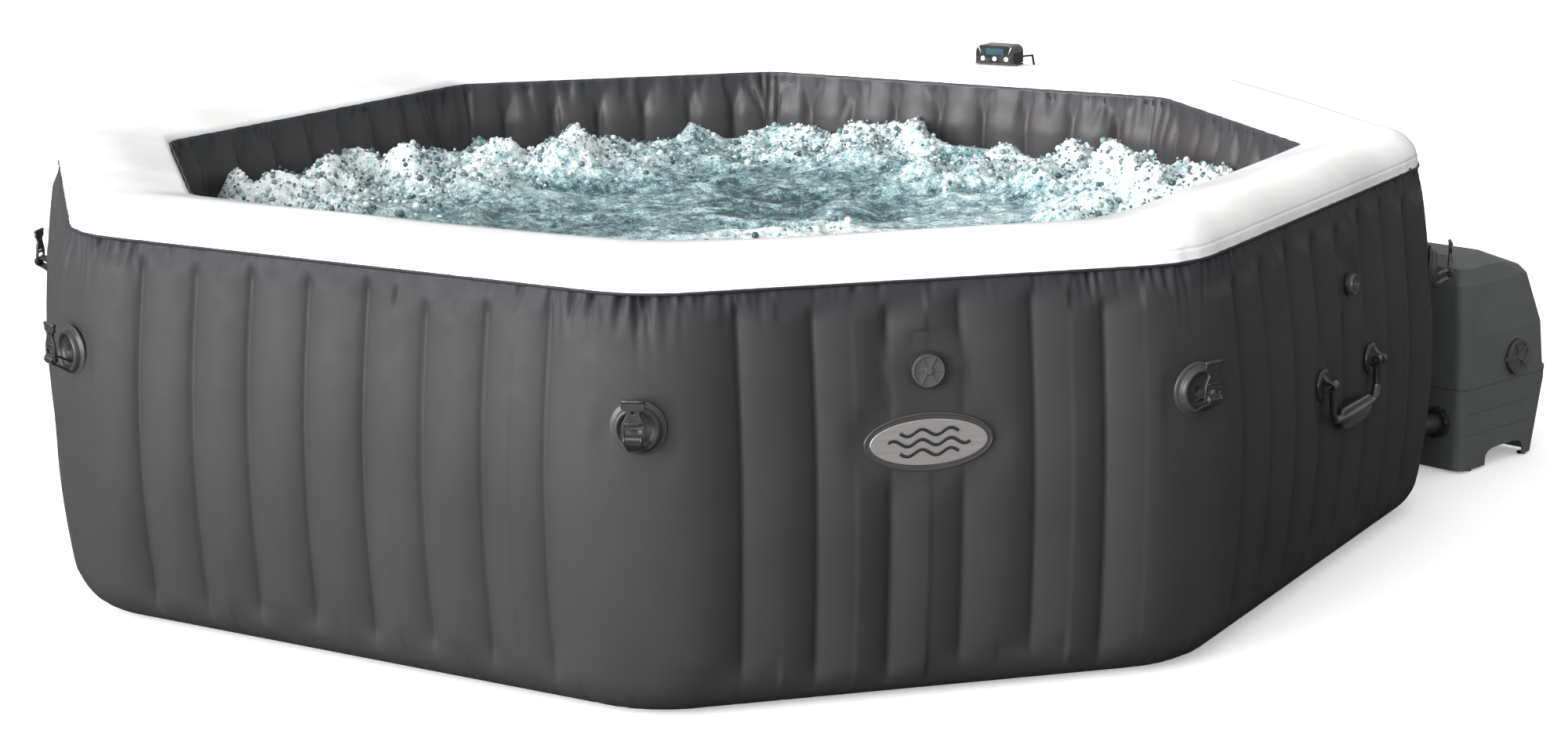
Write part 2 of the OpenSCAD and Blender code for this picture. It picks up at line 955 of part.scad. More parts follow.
module blower_fan()
    color([0.8, 0.8, 0.78])
        on_fan() {
            translate([0, 0, -26])
                cylinder(r = fan_shaft, h = 50);
            translate([0, 0, 7])
                cylinder(r = 44, h = 3);
            translate([0, 0, 9])
                cylinder(r = 12, h = 16);
            for (a = [0:30:330])
                rotate([0, 0, a])
                    block([26, -1, 9], [43, 1, 34]);
        }

module heater_tube()
    color([0.75, 0.76, 0.78])
        at_unit()
            translate([88, 0, 70])
                difference() {
                    union() {
                        peg(19, -100, 100);
                        peg(13, -125, 125);
                        for (end = [-1, 1])
                            translate([0, end * 98, 0])
                                peg(23, -4, 4);
                    }
                    peg(10, -126, 126);
                }

module control_board()
    at_unit() {
        color([0.1, 0.35, 0.2])
            block([70, -100, 240], [71.6, 90, 320]);
        color([0.15, 0.15, 0.15]) {
            block([52, -80, 250], [70.1, -50, 290]);
            block([56, -30, 262], [70.1, 10, 300]);
            for (y = [30, 55])
                translate([46, y, 270])
                    bar_x(9, 0, 24.1);
        }
    }

module pipe_elbow(radius, bend)
    rotate([90, 0, 0])
        rotate([0, 0, -90])
            rotate_extrude(angle = 90)
                translate([bend, 0])
                    circle(r = radius);

module inlet_run(radius, extra) {
    bend = 22;
    translate([0, port_y[0], port_height[0]]) {
        bar_x(radius, 12 - half_unit - extra, filter_x - bend);
        translate([filter_x - bend, 0, bend])
            pipe_elbow(radius, bend);
        translate([filter_x, 0, bend])
            cylinder(r = radius, h = filter_height - filter_bore - 9 - port_height[0] - bend + extra);
    }
}

module internal_pipes()
    color([0.5, 0.5, 0.5])
        at_unit() {
            difference() {
                inlet_run(13, 0);
                inlet_run(10, 1);
            }
            translate([0, port_y[1], port_height[1]])
                difference() {
                    bar_x(13, 12 - half_unit, 60);
                    bar_x(10, 11 - half_unit, 61);
                }
            translate([fan_x - 66, pump_y, pump_height])
                difference() {
                    bar_x(11.5, -4, 14);
                    bar_x(9, -5, 15);
                }
        }

// ---- control pod ----

module at_pod()
    on_face(3, pod_along, 0, 0)
        children();

function pod_outline(inset) = concat(
    [[inset - pod_width / 2, 0], [pod_width / 2 - inset, 0]],
    arc([pod_width / 2 - 14, pod_height - 14], 14 - inset, 0, 90, ARC_STEPS),
    arc([14 - pod_width / 2, pod_height - 14], 14 - inset, 90, 180, ARC_STEPS)
);

module pod_prism(inset, from, to)
    translate([0, to, pod_floor])
        rotate([90, 0, 0])
            linear_extrude(to - from)
                polygon(pod_outline(inset));

module pod_bracket() {
    thickness = 2.5;
    clear = 3;
    beyond_weld = 3.5;
    arc_centre = [wall_thickness - rim_radius + beyond_weld, seam_height];
    inside = rim_radius + clear - thickness + 0.6;
    foot = seam_height - 30;
    leg = outer_reach(foot) + 2;
    color([0.05, 0.05, 0.05])
        at_pod() {
            block([-46, pod_reach + 6, tub_height + 1.1], [46, arc_centre[0], tub_height + 1.1 + thickness]);
            rotate([90, 0, 90])
                linear_extrude(56, center = true)
                    polygon(concat(
                        arc(arc_centre, inside, 90, 0, 8),
                        [[leg, foot]],
                        [[leg + thickness, foot]],
                        arc(arc_centre, inside + thickness, 0, 90, 8)
                    ));
        }
}

module pod_shell()
    color([0.03, 0.03, 0.03])
        at_pod()
            difference() {
                pod_prism(0, pod_reach, pod_reach + pod_depth);
                pod_prism(2, pod_reach + 2, pod_reach + pod_depth - 2);
                block([-pod_width / 2 + 2, pod_reach + 2, pod_floor - 1],
                      [pod_width / 2 - 2, pod_reach + pod_depth - 2, pod_floor + 1]);
                for (i = [-1:1])
                    translate([i * button_pitch, 0, pod_floor + 9])
                        peg(button_radius + RUN, pod_reach - 1, pod_reach + 3);
                block([-20, pod_reach - 1, pod_floor + 18], [20, pod_reach + 3, pod_floor + 30]);
                translate([20, 0, pod_floor + 8])
                    peg(cable_radius + GAP, pod_reach + pod_depth - 4, pod_reach + pod_depth + 1);
            }

module pod_display()
    color([0.5, 0.75, 0.8])
        at_pod()
            block([-19.7, pod_reach - 0.4, pod_floor + 18.3], [19.7, pod_reach + 1.8, pod_floor + 29.7]);

module pod_board()
    color([0.1, 0.35, 0.2])
        at_pod() {
            block([-36, pod_reach + 10, pod_floor + 3], [36, pod_reach + 11.6, pod_floor + 30]);
            block([-16, pod_reach + 4, pod_floor + 19], [16, pod_reach + 10.2, pod_floor + 29]);
        }

module pod_button(i)
    color([0.75, 0.75, 0.75])
        at_pod()
            translate([i * button_pitch, 0, pod_floor + 9]) {
                peg(button_radius, pod_reach - 1.2, pod_reach + 3);
                peg(button_radius + 1.5, pod_reach + 2.2, pod_reach + 4);
            }

// ---- cables ----

function face_point(k, along, reach, z) =
    let (a = face_angle(k), d = face_reach(k) - wall_thickness + reach)
    [d * cos(a) - along * sin(a), d * sin(a) + along * cos(a), z];

function unit_point(x, y, z) = [
    unit_x + x * cos(unit_turn) - y * sin(unit_turn),
    unit_shift + x * sin(unit_turn) + y * cos(unit_turn),
    z
];

module pod_cable() {
    outside = wall_thickness + belly + 6;
    color([0.03, 0.03, 0.03])
        cable([
            face_point(3, pod_along - 20, pod_reach + pod_depth - 1, pod_floor + 8),
            face_point(3, pod_along - 24, outside, pod_floor + 4),
            face_point(3, pod_along - 32, outside + 2, tub_height - 40),
            face_point(3, pod_along - 32, outside + 4, 40),
            face_point(3, pod_along - 50, outside + 10, cable_radius),
            face_point(3, -430, outside + 10, cable_radius),
            face_point(2, 345, outside + 12, cable_radius),
            unit_point(-20, half_depth + 30, cable_radius),
            unit_point(-20, half_depth + 24, 56),
            unit_point(-20, half_depth - 2, 60)
        ], cable_radius);
}

module power_cable()
    color([0.04, 0.04, 0.04])
        cable([
            unit_point(60, half_depth - 2, 60),
            unit_point(60, half_depth + 22, 58),
            unit_point(64, half_depth + 34, 8),
            unit_point(80, half_depth + 52, mains_radius),
            unit_point(126, half_depth + 96, mains_radius),
            unit_point(150, half_depth + 146, mains_radius),
            unit_point(126, half_depth + 184, mains_radius),
            unit_point(92, half_depth + 174, 12),
            unit_point(80, half_depth + 162, 16)
        ], mains_radius);

module power_plug()
    color([0.08, 0.08, 0.08])
        translate(unit_point(42, half_depth + 124, 0))
            rotate([0, 0, unit_turn + 45]) {
                slab(-30, 30, 19, 8, 0.2, 30);
                translate([30, 0, 16])
                    bar_x(8, -2, 14);
                for (y = [-7, 7])
                    translate([0, y, 18])
                        bar_x(2.4, -48, -29);
                translate([0, 0, 8])
                    bar_x(2.8, -50, -29);
            }

base_sheet();
floor_sheet();
outer_wall();
inner_wall();
top_rim();
rim_weld_strip();
wall_beams();
bubble_duct();
latch_patches();
latch_receiver(0);  // latch_receiver_0
latch_receiver(1);  // latch_receiver_1
latch_receiver(2);  // latch_receiver_2
latch_receiver(3);  // latch_receiver_3
latch_receiver(4);  // latch_receiver_4
latch_receiver(5);  // latch_receiver_5
latch_receiver(6);  // latch_receiver_6
latch_receiver(7);  // latch_receiver_7
handle_anchors();
handle(1);  // handle_front
handle(5);  // handle_rear
air_valve_body();
air_valve_cap();
vent_valve_body();
vent_valve_cap();
valve_flaps();
drain_valve_body();
drain_valve_cap();
drain_tube();
badge_plate();
badge_border();
wall_fittings();
fitting_gaskets();
fitting_nuts();
strainer_grids();
unit_hoses();
hose_collars();
at_unit() unit_tray();
at_unit() unit_cover();
unit_feet();
cover_screws();
filter_canister();
filter_cap();
filter_cartridge();
pump_housing();
pump_rotor();
blower_housing();
blower_fan();
heater_tube();
control_board();
internal_pipes();
pod_bracket();
pod_shell();
pod_display();
pod_board();
pod_button(-1);  // pod_button_1
pod_button(0);  // pod_button_2
pod_button(1);  // pod_button_3
pod_cable();
power_cable();
power_plug();
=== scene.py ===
"""Looks of an inflatable hot tub: skins, water, fittings and materials round its CAD frame.

Metres, +Z up, in the frame's own axes. Faces are numbered 0 to 7 anticlockwise from the one
that looks along -Y, and corner k lies before face k. The air ring's inner line is the octagon
on which its inner skin stands, and a reach is a distance outward from that line.
"""
import json
import math

import bmesh
import bpy
import numpy as np
from mathutils import Matrix, Vector


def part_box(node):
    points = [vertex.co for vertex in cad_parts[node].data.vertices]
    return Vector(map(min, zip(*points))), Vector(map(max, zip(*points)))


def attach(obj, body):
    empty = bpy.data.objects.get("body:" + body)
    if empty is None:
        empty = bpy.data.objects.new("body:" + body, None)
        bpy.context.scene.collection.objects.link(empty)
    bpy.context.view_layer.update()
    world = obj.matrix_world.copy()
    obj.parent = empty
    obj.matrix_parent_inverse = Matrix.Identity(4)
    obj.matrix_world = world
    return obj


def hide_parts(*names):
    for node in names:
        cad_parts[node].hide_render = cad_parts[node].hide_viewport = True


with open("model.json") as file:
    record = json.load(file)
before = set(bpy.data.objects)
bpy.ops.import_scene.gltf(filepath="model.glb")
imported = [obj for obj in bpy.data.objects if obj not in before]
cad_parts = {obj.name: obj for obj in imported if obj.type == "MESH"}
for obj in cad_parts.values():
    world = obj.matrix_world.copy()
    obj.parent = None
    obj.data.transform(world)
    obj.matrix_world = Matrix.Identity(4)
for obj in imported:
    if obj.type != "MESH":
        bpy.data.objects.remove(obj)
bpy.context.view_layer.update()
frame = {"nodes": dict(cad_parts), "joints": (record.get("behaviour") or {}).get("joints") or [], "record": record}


# ---- sizes taken from the frame ----

def cad_points(node):
    mesh = frame["nodes"][node].data
    flat = np.empty(len(mesh.vertices) * 3, np.float32)
    mesh.vertices.foreach_get("co", flat)
    return flat.reshape(-1, 3).astype(float)


def face_angle(k):
    return math.radians(45 * k - 90)


def reach_of(node, k):
    """Farthest distance of a CAD node from the centre, square to face k."""
    points = cad_points(node)
    a = face_angle(k)
    return float((points[:, 0] * math.cos(a) + points[:, 1] * math.sin(a)).max())


FACE_REACH = [reach_of("top_rim", k) for k in range(8)]
THICKNESS = FACE_REACH[0] - reach_of("floor_sheet", 0)
BELLY = reach_of("outer_wall", 0) - FACE_REACH[0]
FOOT_REACH = reach_of("base_sheet", 0) - (FACE_REACH[0] - THICKNESS)
SEAM_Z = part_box("outer_wall")[1].z
CROWN_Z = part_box("top_rim")[1].z
INNER_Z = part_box("inner_wall")[1].z
FLOOR_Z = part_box("floor_sheet")[1].z
RIM_RADIUS = CROWN_Z - SEAM_Z
RIM_LAP = 0.005

FOOT_RADIUS = 0.062
CREASE_PITCH = 0.1065
SKIN = 0.002
INNER_ROUNDING = 0.085
WATER_Z = 0.468
CORNER_SPAN = 0.17

FLOOR_BOUNCE = 0.12
FLOOR_GLOW = 0.32
# Painted shade: the share of its colour that the rim keeps where it turns away from the eye.
RIM_PAINTED_EDGE_SHADE = 0.45

JOINTS = {j["name"]: j for j in frame["joints"]}


# ---- geometry of the octagon ----

def corner_point(k, inset):
    a, b = face_angle(k - 1), face_angle(k)
    d = FACE_REACH[(k + 7) % 8] - inset
    e = FACE_REACH[k % 8] - inset
    sine = math.sin(math.pi / 4)
    return np.array([
        (d * math.sin(b) - e * math.sin(a)) / sine,
        (e * math.cos(a) - d * math.cos(b)) / sine,
    ])


def face_length(k):
    return float(np.linalg.norm(corner_point(k + 1, THICKNESS) - corner_point(k, THICKNESS)))


def crease_offsets(k):
    """Places of a face's upright creases, measured from its middle."""
    count = 6 if k % 2 == 0 else 8
    return (np.arange(count) - (count - 1) / 2) * CREASE_PITCH


def outer_reach(z):
    """Reach of the inflated outer wall at height z."""
    turn = math.radians(150) * (SEAM_Z - z) / (SEAM_Z - FOOT_RADIUS)
    return THICKNESS + BELLY * np.sin(turn)


def smooth_step(low, high, value):
    t = np.clip((value - low) / (high - low), 0, 1)
    return t * t * (3 - 2 * t)


def local_frame(origin, x_axis):
    """Matrix of a place on the wall: X along the wall, Y outward, Z up."""
    x = Vector(x_axis).normalized()
    z = Vector((0, 0, 1))
    y = z.cross(x)
    return Matrix.Translation(Vector(origin)) @ Matrix((x, y, z)).transposed().to_4x4()


def node_frame(node, k):
    """Local frame of a CAD node on face k, at its middle and on its inmost side."""
    low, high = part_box(node)
    middle = (low + high) / 2
    a = face_angle(k)
    out = Vector((math.cos(a), math.sin(a), 0))
    inmost = float((cad_points(node)[:, :2] @ np.array(out[:2])).min())
    middle += out * (inmost - middle.dot(out))
    return local_frame(middle, (math.sin(a), -math.cos(a), 0))


# ---- noise ----

def lattice_noise(x, y, seed, wrap=4096):
    """Smooth noise from about -1 to 1; x repeats after wrap."""
    rng = np.random.default_rng(seed)
    order = rng.permutation(4096)
    angles = rng.uniform(0, 2 * math.pi, 4096)
    x0 = np.floor(x).astype(int)
    y0 = np.floor(y).astype(int)
    fx, fy = x - x0, y - y0

    def corner_value(i, j):
        a = angles[order[(order[(x0 + i) % wrap % 4096] + y0 + j) % 4096]]
        return np.cos(a) * (fx - i) + np.sin(a) * (fy - j)

    sx = fx * fx * fx * (fx * (fx * 6 - 15) + 10)
    sy = fy * fy * fy * (fy * (fy * 6 - 15) + 10)
    low = corner_value(0, 0) * (1 - sx) + corner_value(1, 0) * sx
    high = corner_value(0, 1) * (1 - sx) + corner_value(1, 1) * sx
    return 1.4 * (low * (1 - sy) + high * sy)


# ---- mesh helpers ----

def new_object(name, mesh):
    piece = bpy.data.objects.new(name, mesh)
    bpy.context.scene.collection.objects.link(piece)
    return piece


def face_mesh(name, points, faces):
    """Smooth mesh from points and an array of faces that all have the same number of corners."""
    count, sides = faces.shape
    mesh = bpy.data.meshes.new(name)
    mesh.vertices.add(len(points))
    mesh.vertices.foreach_set("co", np.asarray(points, np.float32).ravel())
    mesh.loops.add(count * sides)
    mesh.loops.foreach_set("vertex_index", faces.astype(np.int32).ravel())
    mesh.polygons.add(count)
    mesh.polygons.foreach_set("loop_start", np.arange(0, count * sides, sides, dtype=np.int32))
    mesh.update(calc_edges=True)
    mesh.shade_smooth()
    return mesh


def turn_outward(mesh, merge=False):
    """Points every face outward, after merging doubled points if asked."""
    made = bmesh.new()
    made.from_mesh(mesh)
    if merge:
        bmesh.ops.remove_doubles(made, verts=made.verts, dist=1e-6)
    bmesh.ops.recalc_face_normals(made, faces=made.faces)
    made.to_mesh(mesh)
    made.free()
    return mesh


def lengths_along(path):
    """Unit direction at each point of a path, and the length travelled to it."""
    ahead = np.gradient(path, axis=0)
    ahead /= np.linalg.norm(ahead, axis=1)[:, None]
    steps = np.linalg.norm(np.diff(path, axis=0), axis=1)
    return ahead, np.concatenate([[0], np.cumsum(steps)])


def grid_quads(rows, columns, close_rows=False, close_columns=False):
    i, j = np.meshgrid(
        np.arange(rows if close_rows else rows - 1),
        np.arange(columns if close_columns else columns - 1),
        indexing="ij",
    )
    i, j = i.ravel(), j.ravel()
    n, m = (i + 1) % rows, (j + 1) % columns
    return np.stack([i * columns + j, n * columns + j, n * columns + m, i * columns + m], 1)


def swept_mesh(name, rows):
    """Closed ring of skin: rows of columns, both joined end to end."""
    grid = np.stack(rows)
    quads = grid_quads(grid.shape[0], grid.shape[1], True, True)
    return face_mesh(name, grid.reshape(-1, 3), quads)


def tube(name, path, radius, sides=16, flat=1.0, ridge=0.0, ridge_pitch=0.01):
    """Round or flattened closed tube along a path, with ridges round it if asked."""
    path = np.asarray(path, float)
    ahead, travelled = lengths_along(path)
    side = np.array([0.31, 0.17, 0.93])
    rings = []
    for centre, direction, s in zip(path, ahead, travelled):
        side = side - direction * side.dot(direction)
        side /= np.linalg.norm(side)
        across = np.cross(direction, side)
        turn = np.linspace(0, 2 * math.pi, sides, endpoint=False)
        size = radius + ridge * abs(math.sin(math.pi * s / ridge_pitch))
        rings.append(
            centre
            + size * np.cos(turn)[:, None] * side
            + size * flat * np.sin(turn)[:, None] * across
        )
    points = np.concatenate(rings + [path[:1], path[-1:]])
    count = len(path)
    mesh = bpy.data.meshes.new(name)
    faces = grid_quads(count, sides, False, True)[:, ::-1].tolist()
    first, last = count * sides, count * sides + 1
    for j in range(sides):
        m = (j + 1) % sides
        faces.append([first, m, j])
        faces.append([last, (count - 1) * sides + j, (count - 1) * sides + m])
    mesh.from_pydata(points.tolist(), [], faces)
    mesh.update()
    mesh.shade_smooth()
    return mesh


def bar(low, high, y, z, radius, sides):
    """Round bar along X."""
    return tube("bar", [(x, y, z) for x in np.linspace(low, high, 5)], radius, sides)


def smooth_path(points, per_span=12):
    """Catmull-Rom curve through points."""
    p = np.asarray(points, float)
    p = np.concatenate([[2 * p[0] - p[1]], p, [2 * p[-1] - p[-2]]])
    out = []
    for i in range(1, len(p) - 2):
        for t in np.linspace(0, 1, per_span, endpoint=False):
            a = 2 * p[i]
            b = (p[i + 1] - p[i - 1]) * t
            c = (2 * p[i - 1] - 5 * p[i] + 4 * p[i + 1] - p[i + 2]) * t * t
            d = (3 * p[i] - p[i - 1] - 3 * p[i + 1] + p[i + 2]) * t ** 3
            out.append((a + b + c + d) / 2)
    out.append(p[-2])
    return np.array(out)


def circle_outline(x, z, radius, steps):
    turn = np.linspace(0, 2 * math.pi, steps, endpoint=False)
    return [(x + radius * math.cos(a), z + radius * math.sin(a)) for a in turn]


def ellipse_outline(width, height, steps=72):
    turn = np.linspace(0, 2 * math.pi, steps, endpoint=False)
    return [(width / 2 * math.cos(a), height / 2 * math.sin(a)) for a in turn]


def plate_mesh(name, outlines, low, high, bevel):
    """Flat plate in the XZ plane from depth low to high, with rounded edges.
    The first outline is its edge and the others are holes."""
    curve = bpy.data.curves.new(name, "CURVE")
    curve.dimensions = "2D"
    curve.fill_mode = "BOTH"
    curve.extrude = (high - low) / 2 - bevel
    curve.bevel_depth = bevel
    curve.bevel_resolution = 2
    curve.offset = -bevel
    for outline in outlines:
        spline = curve.splines.new("POLY")
        spline.points.add(len(outline) - 1)
        for point, (x, z) in zip(spline.points, outline):
            point.co = (x, z, 0, 1)
        spline.use_cyclic_u = True
    holder = new_object(name + "_curve", curve)
    mesh = bpy.data.meshes.new_from_object(holder)
    bpy.data.objects.remove(holder)
    bpy.data.curves.remove(curve)
    mesh.transform(Matrix.Translation((0, (low + high) / 2, 0)) @ Matrix.Rotation(math.pi / 2, 4, "X"))
    mesh.name = name
    return turn_outward(mesh, merge=True)


def wall_disc_mesh(name, profile, curve_radius, steps=96):
    """Round moulding on an upright curved wall, from (radius, height) points; the last point
    is its edge on the wall. It has a flat back that follows the wall."""
    turn = np.linspace(0, 2 * math.pi, steps, endpoint=False)
    rows = []
    for radius, height in list(profile) + [(profile[-1][0], -SKIN / 2), (profile[0][0], -SKIN / 2)]:
        x = radius * np.cos(turn)
        z = radius * np.sin(turn)
        y = height - x * x / (2 * curve_radius)
        rows.append(np.stack([x, y, z], 1))
    grid = np.stack(rows)
    quads = grid_quads(len(rows), steps, True, True)[:, ::-1]
    return face_mesh(name, grid.reshape(-1, 3), quads)


def rounded(mesh_object, width, segments=2, angle=35):
    """Rounds a piece's sharp edges."""
    weld = mesh_object.modifiers.new("Weld", "WELD")
    weld.merge_threshold = 1e-5
    bevel = mesh_object.modifiers.new("Bevel", "BEVEL")
    bevel.width = width
    bevel.segments = segments
    bevel.limit_method = "ANGLE"
    bevel.angle_limit = math.radians(angle)
    bevel.use_clamp_overlap = True
    bevel.harden_normals = True
    return mesh_object


# ---- materials ----

def feed(tree, socket, value):
    """Links a socket to another one, or sets its value; a colour gets its alpha."""
    if isinstance(value, bpy.types.NodeSocket):
        tree.links.new(value, socket)
    elif socket.type == "RGBA" and len(value) == 3:
        socket.default_value = (*value, 1)
    else:
        socket.default_value = value


def node_of(tree, kind, inputs=None, **settings):
    node = tree.nodes.new("ShaderNode" + kind)
    for key, value in settings.items():
        setattr(node, key, value)
    for key, value in (inputs or {}).items():
        feed(tree, node.inputs[key], value)
    return node


def math_in(tree, operation, first, second):
    return node_of(tree, "Math", {0: first, 1: second}, operation=operation).outputs[0]


def grey_in(tree, level):
    return node_of(tree, "CombineXYZ", {0: level, 1: level, 2: level}).outputs[0]


def new_material(name):
    """A material, its node tree, its shader and the place on the object in metres."""
    made = bpy.data.materials.new(name)
    made.use_nodes = True
    tree = made.node_tree
    where = node_of(tree, "TexCoord").outputs["Object"]
    return made, tree, tree.nodes["Principled BSDF"], where


def noise_in(tree, scale, detail, where, roughness=0.5):
    inputs = {"Vector": where, "Scale": scale, "Detail": detail, "Roughness": roughness}
    return node_of(tree, "TexNoise", inputs).outputs["Fac"]


def spread_in(tree, where, scale, detail, low, high):
    """Noise whose usual range runs from low to high."""
    return range_in(tree, noise_in(tree, scale, detail, where), 0.3, 0.7, low, high)


def ramp_in(tree, factor, stops):
    node = node_of(tree, "ValToRGB", {"Fac": factor})
    elements = node.color_ramp.elements
    while len(elements) < len(stops):
        elements.new(0.5)
    for element, (position, colour) in zip(elements, stops):
        element.position = position
        element.color = (*colour, 1)
    return node.outputs["Color"]


def range_in(tree, value, from_low, from_high, to_low, to_high):
    node = node_of(tree, "MapRange", {
        "Value": value, "From Min": from_low, "From Max": from_high,
        "To Min": to_low, "To Max": to_high,
    })
    return node.outputs["Result"]


def mix_in(tree, factor, first, second, blend="MIX"):
    inputs = {0: factor, 6: first, 7: second}
    return node_of(tree, "Mix", inputs, data_type="RGBA", blend_type=blend).outputs[2]


def bump_in(tree, height, strength, distance, normal=None):
    inputs = {"Height": height, "Strength": strength, "Distance": distance}
    if normal:
        inputs["Normal"] = normal
    return node_of(tree, "Bump", inputs).outputs["Normal"]


INPUT_NAMES = {
    "colour": "Base Color", "roughness": "Roughness", "normal": "Normal", "metallic": "Metallic",
    "coat": "Coat Weight", "coat_roughness": "Coat Roughness", "specular": "Specular IOR Level",
    "sheen": "Sheen Weight", "glow": "Emission Strength", "glow_colour": "Emission Color",
}


def join_to(tree, shader, **values):
    for key, value in values.items():
        feed(tree, shader.inputs[INPUT_NAMES[key]], value)


def vinyl(name, colour, painted_shade_colour, top, roughness=0.46, specular=0.38, painted_edge_shade=1.0):
    """Laminated vinyl with a fine leather grain; below the seam it turns to the upper colour, a painted shade
    under the rim.
    The edge tone darkens it where it turns away from the eye: painted shade on its turned edges."""
    made, tree, shader, where = new_material(name)
    height = node_of(tree, "SeparateXYZ", {"Vector": where}).outputs["Z"]
    # Random mottle of the vinyl's tone, then multiplied by the painted edge shade below.
    mottle_and_edge_shade = spread_in(tree, where, 5.0, 4.0, 0.9, 1.1)
    # Painted shade: the colour darkens where the surface turns away from the eye, down to the edge factor at
    # grazing angles.
    turned = node_of(tree, "LayerWeight", {"Blend": 0.5}).outputs["Facing"]
    edge = range_in(tree, turned, 0.88, 1.0, 1.0, painted_edge_shade)
    mottle_and_edge_shade = grey_in(tree, math_in(tree, "MULTIPLY", mottle_and_edge_shade, edge))
    # Painted shade under the rim: over the 60 mm below top the colour turns to the darker, bluer upper colour.
    rise = range_in(tree, height, top - 0.06, top, 0.0, 1.0)
    body = mix_in(tree, rise, colour, painted_shade_colour)
    tinted = mix_in(tree, 1.0, body, mottle_and_edge_shade, "MULTIPLY")
    speck = spread_in(tree, where, 900.0, 2.0, -0.06, 0.06)
    spread = spread_in(tree, where, 38.0, 3.0, roughness - 0.05, roughness + 0.07)
    rough = math_in(tree, "ADD", spread, speck)
    grain = noise_in(tree, 1400.0, 3.0, where, 0.6)
    ripple = noise_in(tree, 60.0, 3.0, where)
    coarse = bump_in(tree, ripple, 0.25, 0.0012)
    fine = bump_in(tree, grain, 0.22, 0.0004, coarse)
    join_to(tree, shader, colour=tinted, roughness=rough, normal=fine, specular=specular)
    return made


def moulded_plastic(name, colour, roughness=0.38, grain_scale=900.0, grain=0.2, coat=0.0):
    """Injection-moulded plastic with a fine spark-eroded grain and slight wear."""
    made, tree, shader, where = new_material(name)
    cloud = spread_in(tree, where, 14.0, 4.0, 0.93, 1.07)
    tinted = mix_in(tree, 1.0, colour, grey_in(tree, cloud), "MULTIPLY")
    scuff = range_in(tree, noise_in(tree, 70.0, 5.0, where), 0.35, 0.75, roughness - 0.06, roughness + 0.1)
    bumps = bump_in(tree, noise_in(tree, grain_scale, 2.0, where), grain, 0.0003)
    join_to(tree, shader, colour=tinted, roughness=scuff, normal=bumps, coat=coat, coat_roughness=0.12)
    return made


def soft_rubber(name, colour):
    made, tree, shader, where = new_material(name)
    dust = spread_in(tree, where, 120.0, 4.0, 0.55, 0.8)
    bumps = bump_in(tree, noise_in(tree, 500.0, 2.0, where), 0.3, 0.0003)
    join_to(tree, shader, colour=colour, roughness=dust, normal=bumps, specular=0.3)
    return made


def brushed_metal(name, colour, roughness=0.3):
    made, tree, shader, where = new_material(name)
    stretched = node_of(tree, "Mapping", {"Vector": where, "Scale": (6.0, 60.0, 900.0)}).outputs[0]
    lines = noise_in(tree, 1.0, 3.0, stretched)
    spread = range_in(tree, lines, 0.3, 0.7, roughness - 0.08, roughness + 0.1)
    bumps = bump_in(tree, lines, 0.15, 0.0002)
    join_to(tree, shader, colour=colour, metallic=0.85, roughness=spread, normal=bumps)
    return made


def woven_mesh(name, colour):
    """Pleated filter fabric: a fine weave from two crossed waves."""
    made, tree, shader, where = new_material(name)
    waves = [
        node_of(tree, "TexWave", {"Vector": where, "Scale": 260.0}, bands_direction=axis).outputs["Fac"]
        for axis in ("X", "Z")
    ]
    weave = math_in(tree, "MULTIPLY", *waves)
    bumps = bump_in(tree, weave, 0.4, 0.0004)
    join_to(tree, shader, colour=colour, roughness=0.8, normal=bumps, sheen=0.3)
    return made


def circuit_laminate(name):
    made, tree, shader, where = new_material(name)
    cells = node_of(tree, "TexVoronoi", {"Vector": where, "Scale": 220.0}, feature="DISTANCE_TO_EDGE")
    tracks = ramp_in(tree, cells.outputs["Distance"], [
        (0.0, (0.03, 0.16, 0.07)), (0.08, (0.03, 0.16, 0.07)), (0.11, (0.015, 0.09, 0.04)),
    ])
    join_to(tree, shader, colour=tracks, roughness=0.35, coat=0.4)
    return made


def display_glass(name):
    made, tree, shader, where = new_material(name)
    cloud = noise_in(tree, 40.0, 2.0, where)
    colour = ramp_in(tree, cloud, [(0.3, (0.02, 0.05, 0.06)), (0.7, (0.03, 0.08, 0.1))])
    join_to(tree, shader, colour=colour, roughness=0.06, coat=1.0, coat_roughness=0.03)
    return made


def water_surface():
    """Churned water: dark hollows, grey-green body and white foam, from the mesh's value of foam and painted
    light; the dark hollows and light crests are painted shade and painted highlight.
    """
    made, tree, shader, where = new_material("churned_water")
    foam_and_painted_light = node_of(tree, "Attribute", attribute_name="foam_and_painted_light").outputs["Fac"]
    wide = noise_in(tree, 17.0, 3.0, where, 0.6)
    streak = noise_in(tree, 52.0, 5.0, where, 0.66)
    froth = noise_in(tree, 210.0, 4.0, where, 0.68)
    total = foam_and_painted_light
    for noise, reach in ((wide, 0.16), (streak, 0.30), (froth, 0.22)):
        lift = range_in(tree, noise, 0.32, 0.68, -reach, reach)
        total = math_in(tree, "ADD", total, lift)
    # Low values give the painted shade of the hollows, high values white foam and painted highlight.
    colour = ramp_in(tree, total, [
        (0.0, (0.010, 0.030, 0.036)), (0.17, (0.036, 0.088, 0.104)), (0.36, (0.150, 0.265, 0.285)),
        (0.56, (0.370, 0.530, 0.545)), (0.74, (0.640, 0.740, 0.745)), (0.92, (0.940, 0.970, 0.975)),
    ])
    rough = range_in(tree, total, 0.3, 0.9, 0.05, 0.3)
    ripples = bump_in(tree, streak, 0.9, 0.010)
    fine = bump_in(tree, froth, 0.7, 0.003, ripples)
    join_to(tree, shader, colour=colour, roughness=rough, normal=fine, specular=0.5)
    return made


